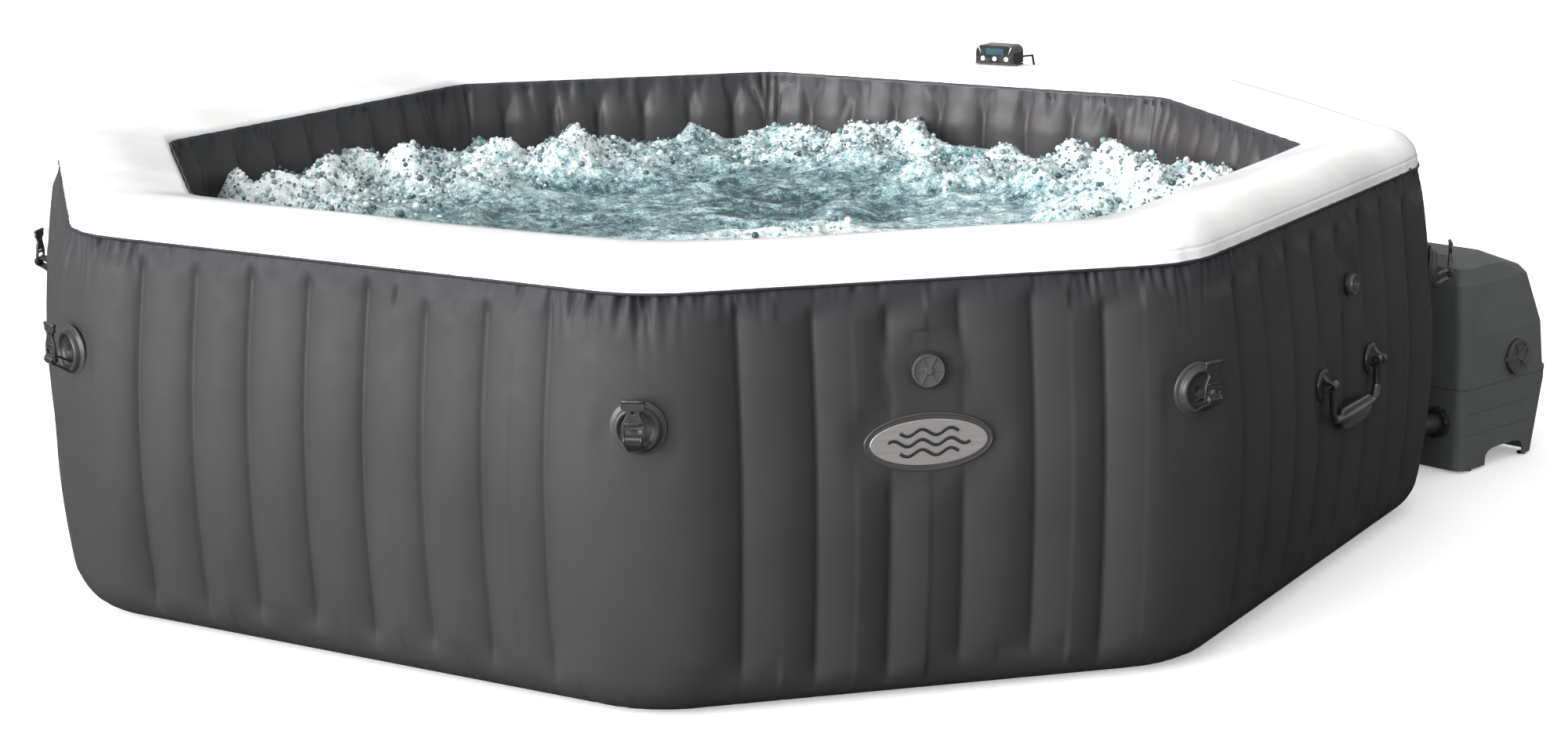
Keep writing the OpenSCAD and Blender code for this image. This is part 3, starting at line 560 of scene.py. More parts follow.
def foam_beads():
    """Bubbles and drops; each has its own tone."""
    made, tree, shader, where = new_material("foam_beads")
    pick = node_of(tree, "NewGeometry").outputs["Random Per Island"]
    tone = ramp_in(tree, pick, [
        (0.0, (0.020, 0.050, 0.058)), (0.3, (0.120, 0.190, 0.200)),
        (0.6, (0.380, 0.460, 0.470)), (1.0, (0.920, 0.950, 0.960)),
    ])
    rough = spread_in(tree, where, 600.0, 2.0, 0.02, 0.14)
    join_to(tree, shader, colour=tone, roughness=rough, specular=0.8)
    return made


def pale_floor():
    """White to the eye, darker in what it throws back, like a floor that falls away."""
    made, tree, shader, where = new_material("studio_floor")
    soft = range_in(tree, noise_in(tree, 3.0, 2.0, where), 0.0, 1.0, 0.93, 0.95)
    seen = node_of(tree, "LightPath").outputs["Is Camera Ray"]
    level = node_of(tree, "Mix", {0: seen, 2: FLOOR_BOUNCE, 3: soft}, data_type="FLOAT").outputs[0]
    glow = math_in(tree, "MULTIPLY", seen, FLOOR_GLOW)
    join_to(tree, shader, colour=grey_in(tree, level), roughness=0.9, specular=0.0,
            glow=glow, glow_colour=(1, 1, 1))
    return made


# Each slot's maker and what it takes after the name.
SLOTS = {
    # wall_vinyl and inner_vinyl darken and turn bluer towards their tops: painted shade under the rim.
    "wall_vinyl": (vinyl, (0.0375, 0.0375, 0.038), (0.030, 0.031, 0.036), SEAM_Z, 0.52, 0.15),
    # rim_vinyl darkens where it turns away from the eye: painted shade.
    "rim_vinyl": (vinyl, (0.86, 0.86, 0.85), (0.86, 0.86, 0.85), CROWN_Z, 0.42, 0.35, RIM_PAINTED_EDGE_SHADE),
    "inner_vinyl": (vinyl, (0.046, 0.042, 0.042), (0.036, 0.037, 0.042), INNER_Z, 0.40, 0.30),
    "beam_vinyl": (vinyl, (0.62, 0.62, 0.58), (0.62, 0.62, 0.58), SEAM_Z),
    "patch_vinyl": (vinyl, (0.045, 0.045, 0.047), (0.045, 0.045, 0.047), SEAM_Z, 0.34),
    "hose_vinyl": (vinyl, (0.03, 0.03, 0.032), (0.03, 0.03, 0.032), SEAM_Z, 0.4),
    "duct_plastic": (moulded_plastic, (0.46, 0.48, 0.49), 0.5),
    "black_plastic": (moulded_plastic, (0.022, 0.022, 0.024), 0.32, 1200.0, 0.12),
    "gloss_black": (moulded_plastic, (0.012, 0.012, 0.013), 0.14, 300.0, 0.04, 0.6),
    "cap_plastic": (moulded_plastic, (0.075, 0.076, 0.078), 0.3, 1000.0, 0.15),
    "white_plastic": (moulded_plastic, (0.75, 0.75, 0.73), 0.4),
    "unit_plastic": (moulded_plastic, (0.092, 0.097, 0.097), 0.55, 1100.0, 0.5),
    "seal_rubber": (soft_rubber, (0.012, 0.012, 0.012)),
    "cable_rubber": (soft_rubber, (0.016, 0.016, 0.017)),
    "badge_metal": (brushed_metal, (0.52, 0.50, 0.49), 0.42),
    "steel": (brushed_metal, (0.6, 0.6, 0.62), 0.28),
    "badge_clear": (moulded_plastic, (0.05, 0.05, 0.052), 0.12, 200.0, 0.03, 0.8),
    "filter_fabric": (woven_mesh, (0.78, 0.79, 0.78)),
    "circuit_board": (circuit_laminate,),
    "display_glass": (display_glass,),
}
MATERIALS = {slot: maker(slot, *values) for slot, (maker, *values) in SLOTS.items()}


def add_piece(name, mesh, slot, place=None, body="tub", node=None, material=None):
    """Adds a piece at its place, with its material, body, slot and the CAD node it stands for."""
    piece = new_object(name, mesh)
    if place:
        piece.matrix_world = place
    piece.data.materials.clear()
    piece.data.materials.append(material or MATERIALS[slot])
    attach(piece, body)
    if node:
        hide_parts(node)
    return piece


# ---- columns round the tub ----

class Ring:
    """Upright columns round the tub, with what each one needs to know about its place."""

    def __init__(self, face_step, arc_steps):
        self.arc_length = THICKNESS * math.pi / 4
        self.columns = []
        travelled = 0.0
        for k in range(8):
            for i in range(arc_steps):
                self.add_arc_column(k, i / arc_steps, travelled)
            travelled += self.arc_length
            length = face_length(k)
            steps = round(length / face_step)
            for i in range(steps):
                self.add_face_column(k, length * i / steps, length, travelled)
            travelled += length
        self.length = travelled
        keys = ("corner", "share", "angle", "gap", "crease", "spread", "near_corner")
        for key, values in zip(keys, zip(*self.columns)):
            setattr(self, key, np.array(values))
        self.normal = np.stack([np.cos(self.angle), np.sin(self.angle)], 1)

    def add_column(self, corner, share, angle, gap, crease, spread, off_corner):
        near_corner = math.exp(-(off_corner / CORNER_SPAN) ** 2)
        self.columns.append((corner, share, angle, gap, crease, spread, near_corner))

    def add_arc_column(self, k, t, travelled):
        before = face_length(k - 1) / 2 - crease_offsets(k - 1)[-1] + self.arc_length * t
        after = face_length(k) / 2 - crease_offsets(k)[-1] + self.arc_length * (1 - t)
        crease = ((k - 1) % 8 * 8 + 7) if before < after else k * 8
        angle = face_angle(k - 1) + math.pi / 4 * t
        place = travelled + self.arc_length * t
        self.add_column(k, 0.0, angle, min(before, after), crease, place, abs(t - 0.5) * self.arc_length)

    def add_face_column(self, k, distance, length, travelled):
        along = distance - length / 2
        gaps = np.abs(crease_offsets(k) - along)
        off_corner = length / 2 - abs(along) + self.arc_length / 2
        crease = k * 8 + int(gaps.argmin())
        self.add_column(k, distance / length, face_angle(k), gaps.min(), crease,
                        travelled + distance, off_corner)

    def points(self, reach, height, rounding=0.0):
        """Points of every column at a reach and height; rounding eases the inner corners."""
        corners = np.array([corner_point(k, THICKNESS + rounding) for k in range(9)])
        low, high = corners[self.corner], corners[self.corner + 1]
        base = low + (high - low) * self.share[:, None]
        reach = np.broadcast_to(reach, self.angle.shape)
        height = np.broadcast_to(height, self.angle.shape)
        flat = base + (reach + rounding)[:, None] * self.normal
        return np.concatenate([flat, height[:, None]], 1)

    def outward(self):
        return np.concatenate([self.normal, np.zeros((len(self.normal), 1))], 1)

    def noise(self, across, height, up, seed):
        """Noise whose waves are about across wide and up high, unbroken round the tub."""
        count = round(self.length / across)
        return lattice_noise(self.spread / self.length * count, height / up + 50.0, seed, count)


def upright_folds(ring, depths, seed, count, width, length, size, corner_pull, creases=False):
    """Short folds that run down from a seam: relief of each row at its depth below the seam.
    corner_pull is the share of folds that gather at the corners."""
    rng = np.random.default_rng(seed)
    field = np.zeros((len(depths), len(ring.spread)))
    places = rng.uniform(0, ring.length, count * 4)
    nearness = np.interp(places, ring.spread, ring.near_corner)
    keep = rng.uniform(0, 1, len(places)) < (1 - corner_pull) + corner_pull * nearness
    places = places[keep][:count]
    nearness = nearness[keep][:count]
    if creases:
        at_crease = ring.spread[(ring.gap < np.roll(ring.gap, 1)) & (ring.gap <= np.roll(ring.gap, -1))]
        places = np.concatenate([places, at_crease])
        nearness = np.concatenate([nearness, np.full(len(at_crease), 1.3)])
    for place, near in zip(places, nearness):
        fold_width = rng.uniform(*width)
        fold_length = rng.uniform(*length) * (0.7 + 0.5 * near)
        fold_size = rng.uniform(*size) * (0.55 + 0.6 * near)
        slant = rng.normal(0, 0.16)
        for row, depth in enumerate(depths):
            fade = math.exp(-(depth / fold_length) ** 2) * (1 - 0.45 * math.exp(-depth / 0.005))
            if fade < 0.02:
                continue
            off = (ring.spread - place - slant * depth + ring.length / 2) % ring.length - ring.length / 2
            near_it = np.abs(off) < 3 * fold_width
            u = off[near_it] / fold_width
            field[row, near_it] -= fold_size * fade * (1 - 0.7 * u * u) * np.exp(-u * u)
    return field


# ---- skins of the air ring ----

def channel_relief(gap, arch, pinch, pinch_width, lift=0.0):
    """Section of a row of inflated channels: low at the creases, raised by lift in the middle."""
    half = CREASE_PITCH / 2
    sag = np.clip(1 - gap / half, 0, 1) ** 2
    beyond = np.exp(-(np.maximum(gap - half, 0) / half) ** 2)
    return lift * (1 - sag) * beyond - arch * sag - pinch * np.exp(-gap / pinch_width)


def flat_spots():
    """(centre, half width, half height) of every fitting bonded to the outer wall."""
    spots = []
    for node, half_width, half_height in (
        ("badge_border", 0.112, 0.056),
        ("air_valve_body", 0.060, 0.048),
        ("vent_valve_body", 0.042, 0.042),
        ("drain_valve_body", 0.042, 0.042),
    ):
        low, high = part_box(node)
        spots.append(((low + high) / 2, half_width, half_height))
    for k in range(8):
        spots.append((Vector(JOINTS[f"latch_{k}_flap"]["pos_m"]), 0.066, 0.058))
    for joint in (JOINTS["handle_front_swing"], JOINTS["handle_rear_swing"]):
        middle = Vector(joint["pos_m"])
        along = Vector(joint["axis"]) * 0.11
        spots.append((middle - along, 0.046, 0.042))
        spots.append((middle + along, 0.046, 0.042))
    return spots


def fitting_mask(points, spots):
    """Where bonded fittings hold the outer wall flat, from 0 at a fitting to 1 away from it."""
    mask = np.ones(len(points))
    for centre, half_width, half_height in spots:
        across = np.hypot(points[:, 0] - centre.x, points[:, 1] - centre.y)
        away = (across / half_width) ** 2 + ((points[:, 2] - centre.z) / half_height) ** 2
        mask = mask * smooth_step(0.75, 1.6, away)
    return mask


def wall_rows():
    """(reach, height) of the outer wall's rows, from the seam down to the ground."""
    top = np.linspace(SEAM_Z, SEAM_Z - 0.072, 19)
    middle = np.linspace(SEAM_Z - 0.078, 0.11, 20)
    low = np.linspace(0.104, FOOT_RADIUS, 5)
    heights = np.concatenate([top, middle, low])
    rows = [(float(outer_reach(z)), float(z)) for z in heights]
    start = outer_reach(FOOT_RADIUS) - FOOT_REACH
    for a in np.linspace(0, math.pi / 2, 11)[1:]:
        rows.append((FOOT_REACH + start * math.cos(a), FOOT_RADIUS * (1 - math.sin(a))))
    return rows


def outer_wall_skin():
    """Charcoal outer skin: inflated channels, gathers below the rim seam and at the foot."""
    ring = Ring(0.0037, 46)
    rng = np.random.default_rng(11)
    crease_top = 0.024 + rng.uniform(-0.012, 0.016, 64)[ring.crease]
    crease_foot = 0.050 + rng.uniform(-0.014, 0.018, 64)[ring.crease]
    crease_size = rng.uniform(0.8, 1.15, 64)[ring.crease]
    rows = wall_rows()
    depths = np.array([SEAM_Z - z for _, z in rows])
    above_foot = depths.max() - depths
    gathers = upright_folds(
        ring, depths, seed=21, count=620, width=(0.0032, 0.0075), length=(0.014, 0.046),
        size=(0.0018, 0.0066), corner_pull=0.78)
    foot = upright_folds(
        ring, above_foot, seed=22, count=150, width=(0.004, 0.009), length=(0.015, 0.04),
        size=(0.0005, 0.002), corner_pull=0.95)
    spots = flat_spots()
    front = []
    for i, (reach, z) in enumerate(rows):
        depth = SEAM_Z - z
        strength = smooth_step(0, 0.030, depth - crease_top) * smooth_step(0, 0.05, z - crease_foot + 0.02)
        relief = channel_relief(ring.gap, arch=0.0066, pinch=0.0032, pinch_width=0.0044, lift=0.0062)
        relief = relief * crease_size
        relief = relief * strength * fitting_mask(ring.points(reach, z), spots)
        relief = relief + 0.0022 * ring.noise(0.33, z, 0.3, 31) * smooth_step(0, 0.06, z)
        relief = relief + 0.0007 * ring.noise(0.07, z, 0.16, 32) * smooth_step(0, 0.06, z)
        tuck = -0.0030 * math.exp(-depth / 0.012)
        relief = relief + tuck + gathers[i] + foot[i] * 0.8
        front.append(ring.points(reach + relief, z))
    back = [points - ring.outward() * SKIN + np.array([0, 0, 0.0005]) for points in front[::-4]]
    name = "outer_wall_skin"
    add_piece(name, swept_mesh(name, front + back), "wall_vinyl", node="outer_wall")
    return ring


def rim_rows():
    """(reach, height, rounding) of the rim's rows, from its inner edge over the crown to the seam."""
    rows = []
    edge_radius = 0.015
    edge_z = INNER_Z - 0.001
    inner_top = edge_z + edge_radius
    rows.append((0.006, edge_z - 0.006, 1.0))
    for a in np.linspace(0, 80, 8):
        a = math.radians(a)
        rows.append((edge_radius * (1 - math.cos(a)), edge_z + edge_radius * math.sin(a), 1.0))
    outer_start = THICKNESS - RIM_RADIUS
    for t in np.linspace(0, 1, 15)[1:-1]:
        reach = edge_radius + (outer_start - edge_radius) * t
        crown = inner_top + (CROWN_Z - inner_top) * math.sin(math.pi / 2 * t) ** 0.9
        rows.append((reach, crown, 1 - t))
    for a in np.concatenate([np.linspace(90, 30, 10), np.linspace(27, 0, 17)]):
        a = math.radians(a)
        reach = outer_start + RIM_RADIUS * math.cos(a)
        rows.append((reach, SEAM_Z + RIM_RADIUS * math.sin(a), 0.0))
    rows.append((THICKNESS + 0.001, SEAM_Z - RIM_LAP, 0.0))
    return rows


def top_rim_skin():
    """White top skin: a soft pillow with a weld line just above the seam."""
    ring = Ring(0.0068, 22)
    rows = rim_rows()
    depths = np.array([abs(z - SEAM_Z) if reach > THICKNESS - RIM_RADIUS else 0.2 for reach, z, _ in rows])
    gathers = upright_folds(
        ring, depths, seed=41, count=300, width=(0.006, 0.013), length=(0.008, 0.02),
        size=(0.0006, 0.0016), corner_pull=0.6)
    middle_sag = 1 - ring.near_corner
    front = []
    for i, (reach, z, rounding) in enumerate(rows):
        groove = math.exp(-((z - SEAM_Z - 0.0125) / 0.0013) ** 2) if reach > THICKNESS - RIM_RADIUS else 0.0
        relief = gathers[i] - 0.0016 * groove
        relief = relief + 0.0012 * ring.noise(0.16, reach, 0.08, 51) * smooth_step(0, 0.02, z - SEAM_Z)
        lift = smooth_step(0.0, 0.03, z - SEAM_Z)
        level = z - lift * (0.0045 * middle_sag * smooth_step(0.3, 1.0, rounding) - 0.0018
                            * ring.noise(0.28, reach, 0.2, 52))
        front.append(ring.points(reach + relief, level, rounding * INNER_ROUNDING))
    back = [points - np.array([0, 0, SKIN]) for points in front[::-3]]
    name = "top_rim_skin"
    add_piece(name, swept_mesh(name, front + back), "rim_vinyl", node="top_rim")


def rim_weld_bead(ring):
    """Thin dark bead where the rim is welded to the wall."""
    section = (
        (0.0005, 0.0015), (0.0022, 0.0008), (0.0026, -0.001),
        (0.0016, -0.0028), (-0.0015, -0.0028), (-0.0015, 0.0015),
    )
    waver = 0.0006 * ring.noise(0.05, 0.0, 1.0, 61)
    rows = [ring.points(THICKNESS + out + waver, SEAM_Z - RIM_LAP + rise) for out, rise in section]
    name = "rim_weld_bead"
    add_piece(name, swept_mesh(name, rows), "wall_vinyl", node="rim_weld_strip")


def inner_wall_skin():
    """Dark inner skin: channels that bulge towards the water, with deep folds under the rim."""
    ring = Ring(0.0052, 14)
    low = FLOOR_Z + 0.001
    heights = np.concatenate([np.linspace(low, 0.40, 12)[:-1], np.linspace(0.40, INNER_Z + 0.002, 34)])
    depths = INNER_Z - heights
    rng = np.random.default_rng(71)
    size = rng.uniform(0.75, 1.2, 64)[ring.crease]
    folds = upright_folds(
        ring, depths, seed=72, count=210, width=(0.007, 0.016), length=(0.03, 0.085),
        size=(0.0036, 0.0100), corner_pull=0.25, creases=True)
    front = []
    for i, z in enumerate(heights):
        depth = INNER_Z - z
        swell = 0.004 + 0.019 * smooth_step(-0.004, 0.085, depth) * smooth_step(0, 0.06, z)
        relief = channel_relief(ring.gap, arch=0.013, pinch=0.004, pinch_width=0.010) * size
        bulge = swell + relief * smooth_step(-0.004, 0.04, depth)
        bulge = bulge + 0.003 * ring.noise(0.21, z, 0.17, 73) * smooth_step(0.0, 0.05, depth) + folds[i]
        front.append(ring.points(-np.maximum(bulge, 0.0012), z, INNER_ROUNDING))
    back = [points + ring.outward() * SKIN for points in front[::-4]]
    name = "inner_wall_skin"
    add_piece(name, swept_mesh(name, front + back), "inner_vinyl", node="inner_wall")


# ---- water ----

def inside_octagon(x, y, inset):
    """Distance inside the octagon that stands inset from the outside, negative when outside it."""
    inside = np.full(np.shape(x), 9.0)
    for k in range(8):
        a = face_angle(k)
        inside = np.minimum(inside, FACE_REACH[k] - inset - (x * math.cos(a) + y * math.sin(a)))
    return inside


def billow(x, y, size, seed, octaves=4, gain=0.5):
    """Heaped noise from 0 to about 1: rounded lumps with sharp hollows between."""
    total, weight, amount = 0.0, 0.0, 1.0
    for i in range(octaves):
        scale = 2 ** i / size
        total = total + amount * (1 - np.abs(lattice_noise(x * scale + 99, y * scale + 99, seed + i)))
        weight += amount
        amount *= gain
    return 1 - total / weight


def water_height(x, y):
    """Height above the still water, the value of foam and painted light, and churn at (x, y)."""
    from_wall = inside_octagon(x, y, THICKNESS)
    near_side = smooth_step(-0.15, -0.65, y) * smooth_step(-0.5, -0.2, x)
    edge = np.exp(-((from_wall - 0.13) / 0.24) ** 2) * (1 - near_side) * smooth_step(-1.0, -0.66, x)
    patches = 0.5 + 0.5 * lattice_noise(x / 0.33 + 7, y / 0.33 + 7, 81)
    churn = np.clip(edge * (0.1 + 1.45 * patches) + 0.45 * smooth_step(0.62, 0.9, patches), 0, 1)
    bend_x = x + 0.045 * lattice_noise(x / 0.13 + 3, y / 0.13 + 3, 82)
    bend_y = y + 0.045 * lattice_noise(x / 0.13 + 31, y / 0.13 + 17, 83)
    swell = 0.012 * lattice_noise(x / 0.32 + 5, y / 0.32 + 5, 84)
    chop = 0.034 * (0.5 - billow(bend_x * 0.8, bend_y * 1.3, 0.17, 85, 4, 0.5))
    lumps = 0.5 + 0.5 * lattice_noise(bend_x / 0.10 + 11, bend_y / 0.10 + 11, 91)
    knobs = 1 - billow(bend_x, bend_y, 0.045, 92, 3, 0.6)
    buds = 1 - billow(bend_x + 0.3 * knobs * 0.02, bend_y, 0.019, 97, 2, 0.6)
    heap = churn * (0.010 + 0.074 * smooth_step(0.3, 0.95, lumps) + 0.028 * knobs + 0.010 * buds)
    height = swell + chop + heap
    # Value of foam and painted light: white foam on the heaps, painted highlight on wave crests and heap tops,
    # painted shade in the hollows, and lighter in a calm patch near the front.
    crest = smooth_step(0.002, 0.014, chop)
    streak = 0.5 + 0.5 * lattice_noise(bend_x / 0.10 + 23, bend_y / 0.045 + 23, 96)
    drift = lattice_noise(x / 0.45 + 9, y / 0.3 + 9, 98)
    calm = np.exp(-((x - 0.10) ** 2 / 0.50 + (y + 0.32) ** 2 / 0.20))
    open_water = 0.16 + 0.22 * drift + 0.34 * crest * streak + 0.50 * calm
    heaped = 0.22 + 0.46 * smooth_step(0.2, 0.75, lumps) + 0.30 * knobs + 0.12 * buds
    foam_and_painted_light = open_water * (1 - churn) + heaped * churn
    return height, np.clip(foam_and_painted_light, 0, 1), churn


def water_body():
    """The churned water, closed down to the tub's floor."""
    step = 0.0068
    half = FACE_REACH[0] - THICKNESS + 0.01
    axis = np.arange(-half, half + step, step)
    x, y = np.meshgrid(axis, axis)
    inside = inside_octagon(x, y, THICKNESS - 0.004)
    kept = inside > 0
    height, foam_and_painted_light, _ = water_height(x, y)
    number = np.full(x.shape, -1)
    cells = kept[:-1, :-1] & kept[1:, :-1] & kept[:-1, 1:] & kept[1:, 1:]
    used = np.zeros(x.shape, bool)
    for di in (0, 1):
        for dj in (0, 1):
            used[di:used.shape[0] - 1 + di, dj:used.shape[1] - 1 + dj] |= cells
    number[used] = np.arange(used.sum())
    top = np.stack([x[used], y[used], WATER_Z + height[used]], 1)
    i, j = np.nonzero(cells)
    quads = np.stack([number[i, j], number[i, j + 1], number[i + 1, j + 1], number[i + 1, j]], 1)
    count = len(top)
    bottom = top.copy()
    bottom[:, 2] = FLOOR_Z + 0.002
    mesh = closed_slab("churned_water", np.concatenate([top, bottom]), quads, count)
    values = mesh.attributes.new("foam_and_painted_light", "FLOAT", "POINT")
    both = np.concatenate([foam_and_painted_light[used], foam_and_painted_light[used] * 0 + 0.2])
    values.data.foreach_set("value", both[:len(mesh.vertices)].astype(np.float32))
    add_piece("churned_water", mesh, "display_glass", material=water_surface())


def closed_slab(name, points, quads, count):
    """Top quads, the same quads turned over below, and sides round the edge."""
    edges = np.concatenate([quads[:, [a, (a + 1) % 4]] for a in range(4)])
    key = edges[:, 0].astype(np.int64) * count + edges[:, 1]
    back = edges[:, 1].astype(np.int64) * count + edges[:, 0]
    rim = edges[~np.isin(key, back)]
    sides = np.stack([rim[:, 1], rim[:, 0], rim[:, 0] + count, rim[:, 1] + count], 1)
    faces = np.concatenate([quads, quads[:, ::-1] + count, sides])
    return face_mesh(name, points, faces)


def ball_template(levels):
    made = bmesh.new()
    bmesh.ops.create_icosphere(made, subdivisions=levels, radius=1.0)
    points = np.array([v.co for v in made.verts])
    faces = np.array([[v.index for v in f.verts] for f in made.faces])
    made.free()
    return points, faces


def beads_mesh(name, centres, radii, levels):
    """Many small balls in one mesh."""
    points, faces = ball_template(levels)
    every = (centres[:, None, :] + radii[:, None, None] * points[None]).reshape(-1, 3)
    start = (np.arange(len(centres)) * len(points))[:, None, None]
    triangles = (faces[None] + start).reshape(-1, 3)
    return face_mesh(name, every, triangles)


def bubble_places(seed, tries, count, toss):
    """Places heaped on the churned parts of the water, some thrown up by about toss."""
    rng = np.random.default_rng(seed)
    half = FACE_REACH[0] - THICKNESS
    x = rng.uniform(-half, half, tries)
    y = rng.uniform(-half, half, tries)
    height, foam_and_painted_light, churn = water_height(x, y)
    chance = np.clip(churn - 0.2, 0, 1) * smooth_step(0.2, 0.6, foam_and_painted_light)
    keep = (inside_octagon(x, y, THICKNESS + 0.02) > 0) & (rng.uniform(0, 1, tries) < chance)
    picked = np.flatnonzero(keep)[:count]
    thrown = np.maximum(rng.normal(0, toss, len(picked)), 0) * churn[picked]
    return rng, np.stack([x[picked], y[picked], WATER_Z + height[picked] + thrown], 1)


def foam_bubbles():
    """Bubbles heaped on the churned parts, and finer drops thrown up from them."""
    shared = foam_beads()
    for name, seed, tries, count, toss, mean, most, levels in (
        ("foam_bubbles", 101, 60000, 3600, 0.0, 0.0013, 0.0065, 2),
        ("foam_spray", 102, 90000, 7500, 0.003, 0.0008, 0.0030, 1),
    ):
        rng, centres = bubble_places(seed, tries, count, toss)
        radii = np.minimum(rng.gamma(2.6, mean, len(centres)) + mean, most)
        centres[:, 2] += radii * rng.uniform(-0.5, 0.6, len(centres))
        beads = beads_mesh(name, centres, radii, levels)
        add_piece(name, beads, "display_glass", material=shared)


# ---- latches ----

def latch_patch_profile():
    """(radius, height) of a bonded latch patch: disc, raised ring and dished middle."""
    profile = [(0.0004, 0.0040), (0.012, 0.0040), (0.020, 0.0044), (0.0235, 0.0060)]
    for a in np.linspace(150, 0, 9):
        a = math.radians(a)
        profile.append((0.0290 + 0.0042 * math.cos(a), 0.0060 + 0.0062 * math.sin(a)))
    profile += [(0.0336, 0.0042), (0.0352, 0.0030), (0.0385, 0.0028), (0.0402, 0.0020), (0.0410, 0.0004)]
    return profile


def receiver_outline():
    """Front outline of a strap receiver, hinge bar at the bottom: wide foot, neck and T-shaped head."""
    half = [
        (0.0150, -0.0040), (0.0165, -0.0020), (0.0168, 0.0100), (0.0166, 0.0190), (0.0150, 0.0240),
        (0.0118, 0.0300), (0.0100, 0.0345), (0.0098, 0.0385), (0.0112, 0.0412), (0.0140, 0.0425),
        (0.0162, 0.0432), (0.0168, 0.0450), (0.0168, 0.0530), (0.0158, 0.0545),
    ]
    return half + [(-x, z) for x, z in reversed(half)]


def slot_outline(half_width, low, high):
    return [(-half_width, low), (half_width, low), (half_width, high), (-half_width, high)]


def latch(k):
    """One cover latch: patch on the wall, ribbed strap loop and hinged receiver."""
    joint = JOINTS[f"latch_{k}_flap"]
    at_pin = local_frame(joint["pos_m"], joint["axis"])
    pin = Vector(joint["pos_m"])
    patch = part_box("latch_patches")
    centre_z = (patch[0].z + patch[1].z) / 2
    corner = corner_point(k, THICKNESS)
    a = face_angle(k) - math.pi / 8
    surface = float(outer_reach(centre_z)) + 0.0008
    on_wall = Vector((corner[0] + surface * math.cos(a), corner[1] + surface * math.sin(a), centre_z))
    place = local_frame(on_wall, joint["axis"])

    name = f"latch_patch_{k}"
    disc = add_piece(name, wall_disc_mesh(name, latch_patch_profile(), surface), "patch_vinyl", place)

    holes = [
        slot_outline(0.0122, 0.0065, 0.0145),
        slot_outline(0.0118, 0.0180, 0.0200),
        circle_outline(0, 0.0385, 0.0026, 16),
    ]
    plate = plate_mesh(f"receiver_{k}", [receiver_outline()] + holes, -0.0022, 0.0022, 0.0007)
    add_piece(f"latch_receiver_looks_{k}", plate, "black_plastic", at_pin, f"receiver_{k}",
              f"latch_receiver_{k}")
    add_receiver_details(k, at_pin)

    out = (pin - on_wall).dot(place.to_3x3() @ Vector((0, 1, 0)))
    drop = pin.z - centre_z
    strap_loop(k, place, out, drop)
    return disc


def add_receiver_details(k, at_pin):
    """Hinge barrel, head roll and stiffening rib of a receiver."""
    parts = [
        bar(-0.0135, 0.0135, 0, 0, 0.0046, 20),
        bar(-0.0168, 0.0168, 0, 0.0535, 0.0031, 16),
        bar(-0.0125, 0.0125, 0.0022, 0.0232, 0.0014, 12),
    ]
    name = f"receiver_bars_{k}"
    add_piece(name, join_meshes(name, parts), "black_plastic", at_pin, f"receiver_{k}")


def join_meshes(name, meshes, sharp_angle=None):
    """One smooth mesh from several; edges over sharp_angle degrees are drawn sharp."""
    made = bmesh.new()
    for mesh in meshes:
        made.from_mesh(mesh)
        bpy.data.meshes.remove(mesh)
    mesh = bpy.data.meshes.new(name)
    made.to_mesh(mesh)
    made.free()
    mesh.shade_smooth()
    if sharp_angle:
        mesh.set_sharp_from_angle(angle=math.radians(sharp_angle))
    return mesh


def band_mesh(name, path, width, thickness, ribs=0.0, rib_pitch=0.004):
    """Flat strap along a path of (y, z) points; its width runs along X."""
    path = np.asarray(path, float)
    ahead, travelled = lengths_along(path)
    rings = []
    edge = thickness * 0.45
    for (y, z), (ty, tz), s in zip(path, ahead, travelled):
        grown = thickness / 2 + ribs * max(0.0, math.sin(2 * math.pi * s / rib_pitch))
        section = [
            (-width / 2, 0), (-width / 2 + edge, grown), (width / 2 - edge, grown),
            (width / 2, 0), (width / 2 - edge, -grown), (-width / 2 + edge, -grown),
        ]
        rings.append([(x, y - tz * h, z + ty * h) for x, h in section])
    sides = len(rings[0])
    points = [p for ring in rings for p in ring]
    faces = grid_quads(len(rings), sides, False, True).tolist()
    faces.append(list(range(sides)))
    faces.append([len(points) - 1 - j for j in range(sides)])
    mesh = bpy.data.meshes.new(name)
    mesh.from_pydata(points, [], faces)
    return turn_outward(mesh)


def strap_loop(k, place, out, drop):
    """Ribbed vinyl loop from the patch to the receiver's hinge bar."""
    loop = smooth_path([
        (0.003, drop - 0.020), (0.010, drop - 0.021), (out - 0.008, drop - 0.011),
        (out + 0.003, drop - 0.0058), (out + 0.0058, drop + 0.0005), (out + 0.001, drop + 0.0058),
        (out - 0.010, drop + 0.003), (0.012, drop - 0.004), (0.003, drop - 0.006),
    ], 8)
    name = f"strap_loop_{k}"
    band = band_mesh(name, loop, 0.0235, 0.0016, 0.0007)
    sides = [
        tube("side", [(x, y, z) for y, z in loop[4:-4]], 0.0017, 10) for x in (-0.0118, 0.0118)
    ]
    pin = bar(-0.0165, 0.0165, out, drop, 0.0019, 12)
    joined = join_meshes(name, [band] + sides + [pin], 40)
    add_piece(name, joined, "black_plastic", place)


# ---- carry handles ----

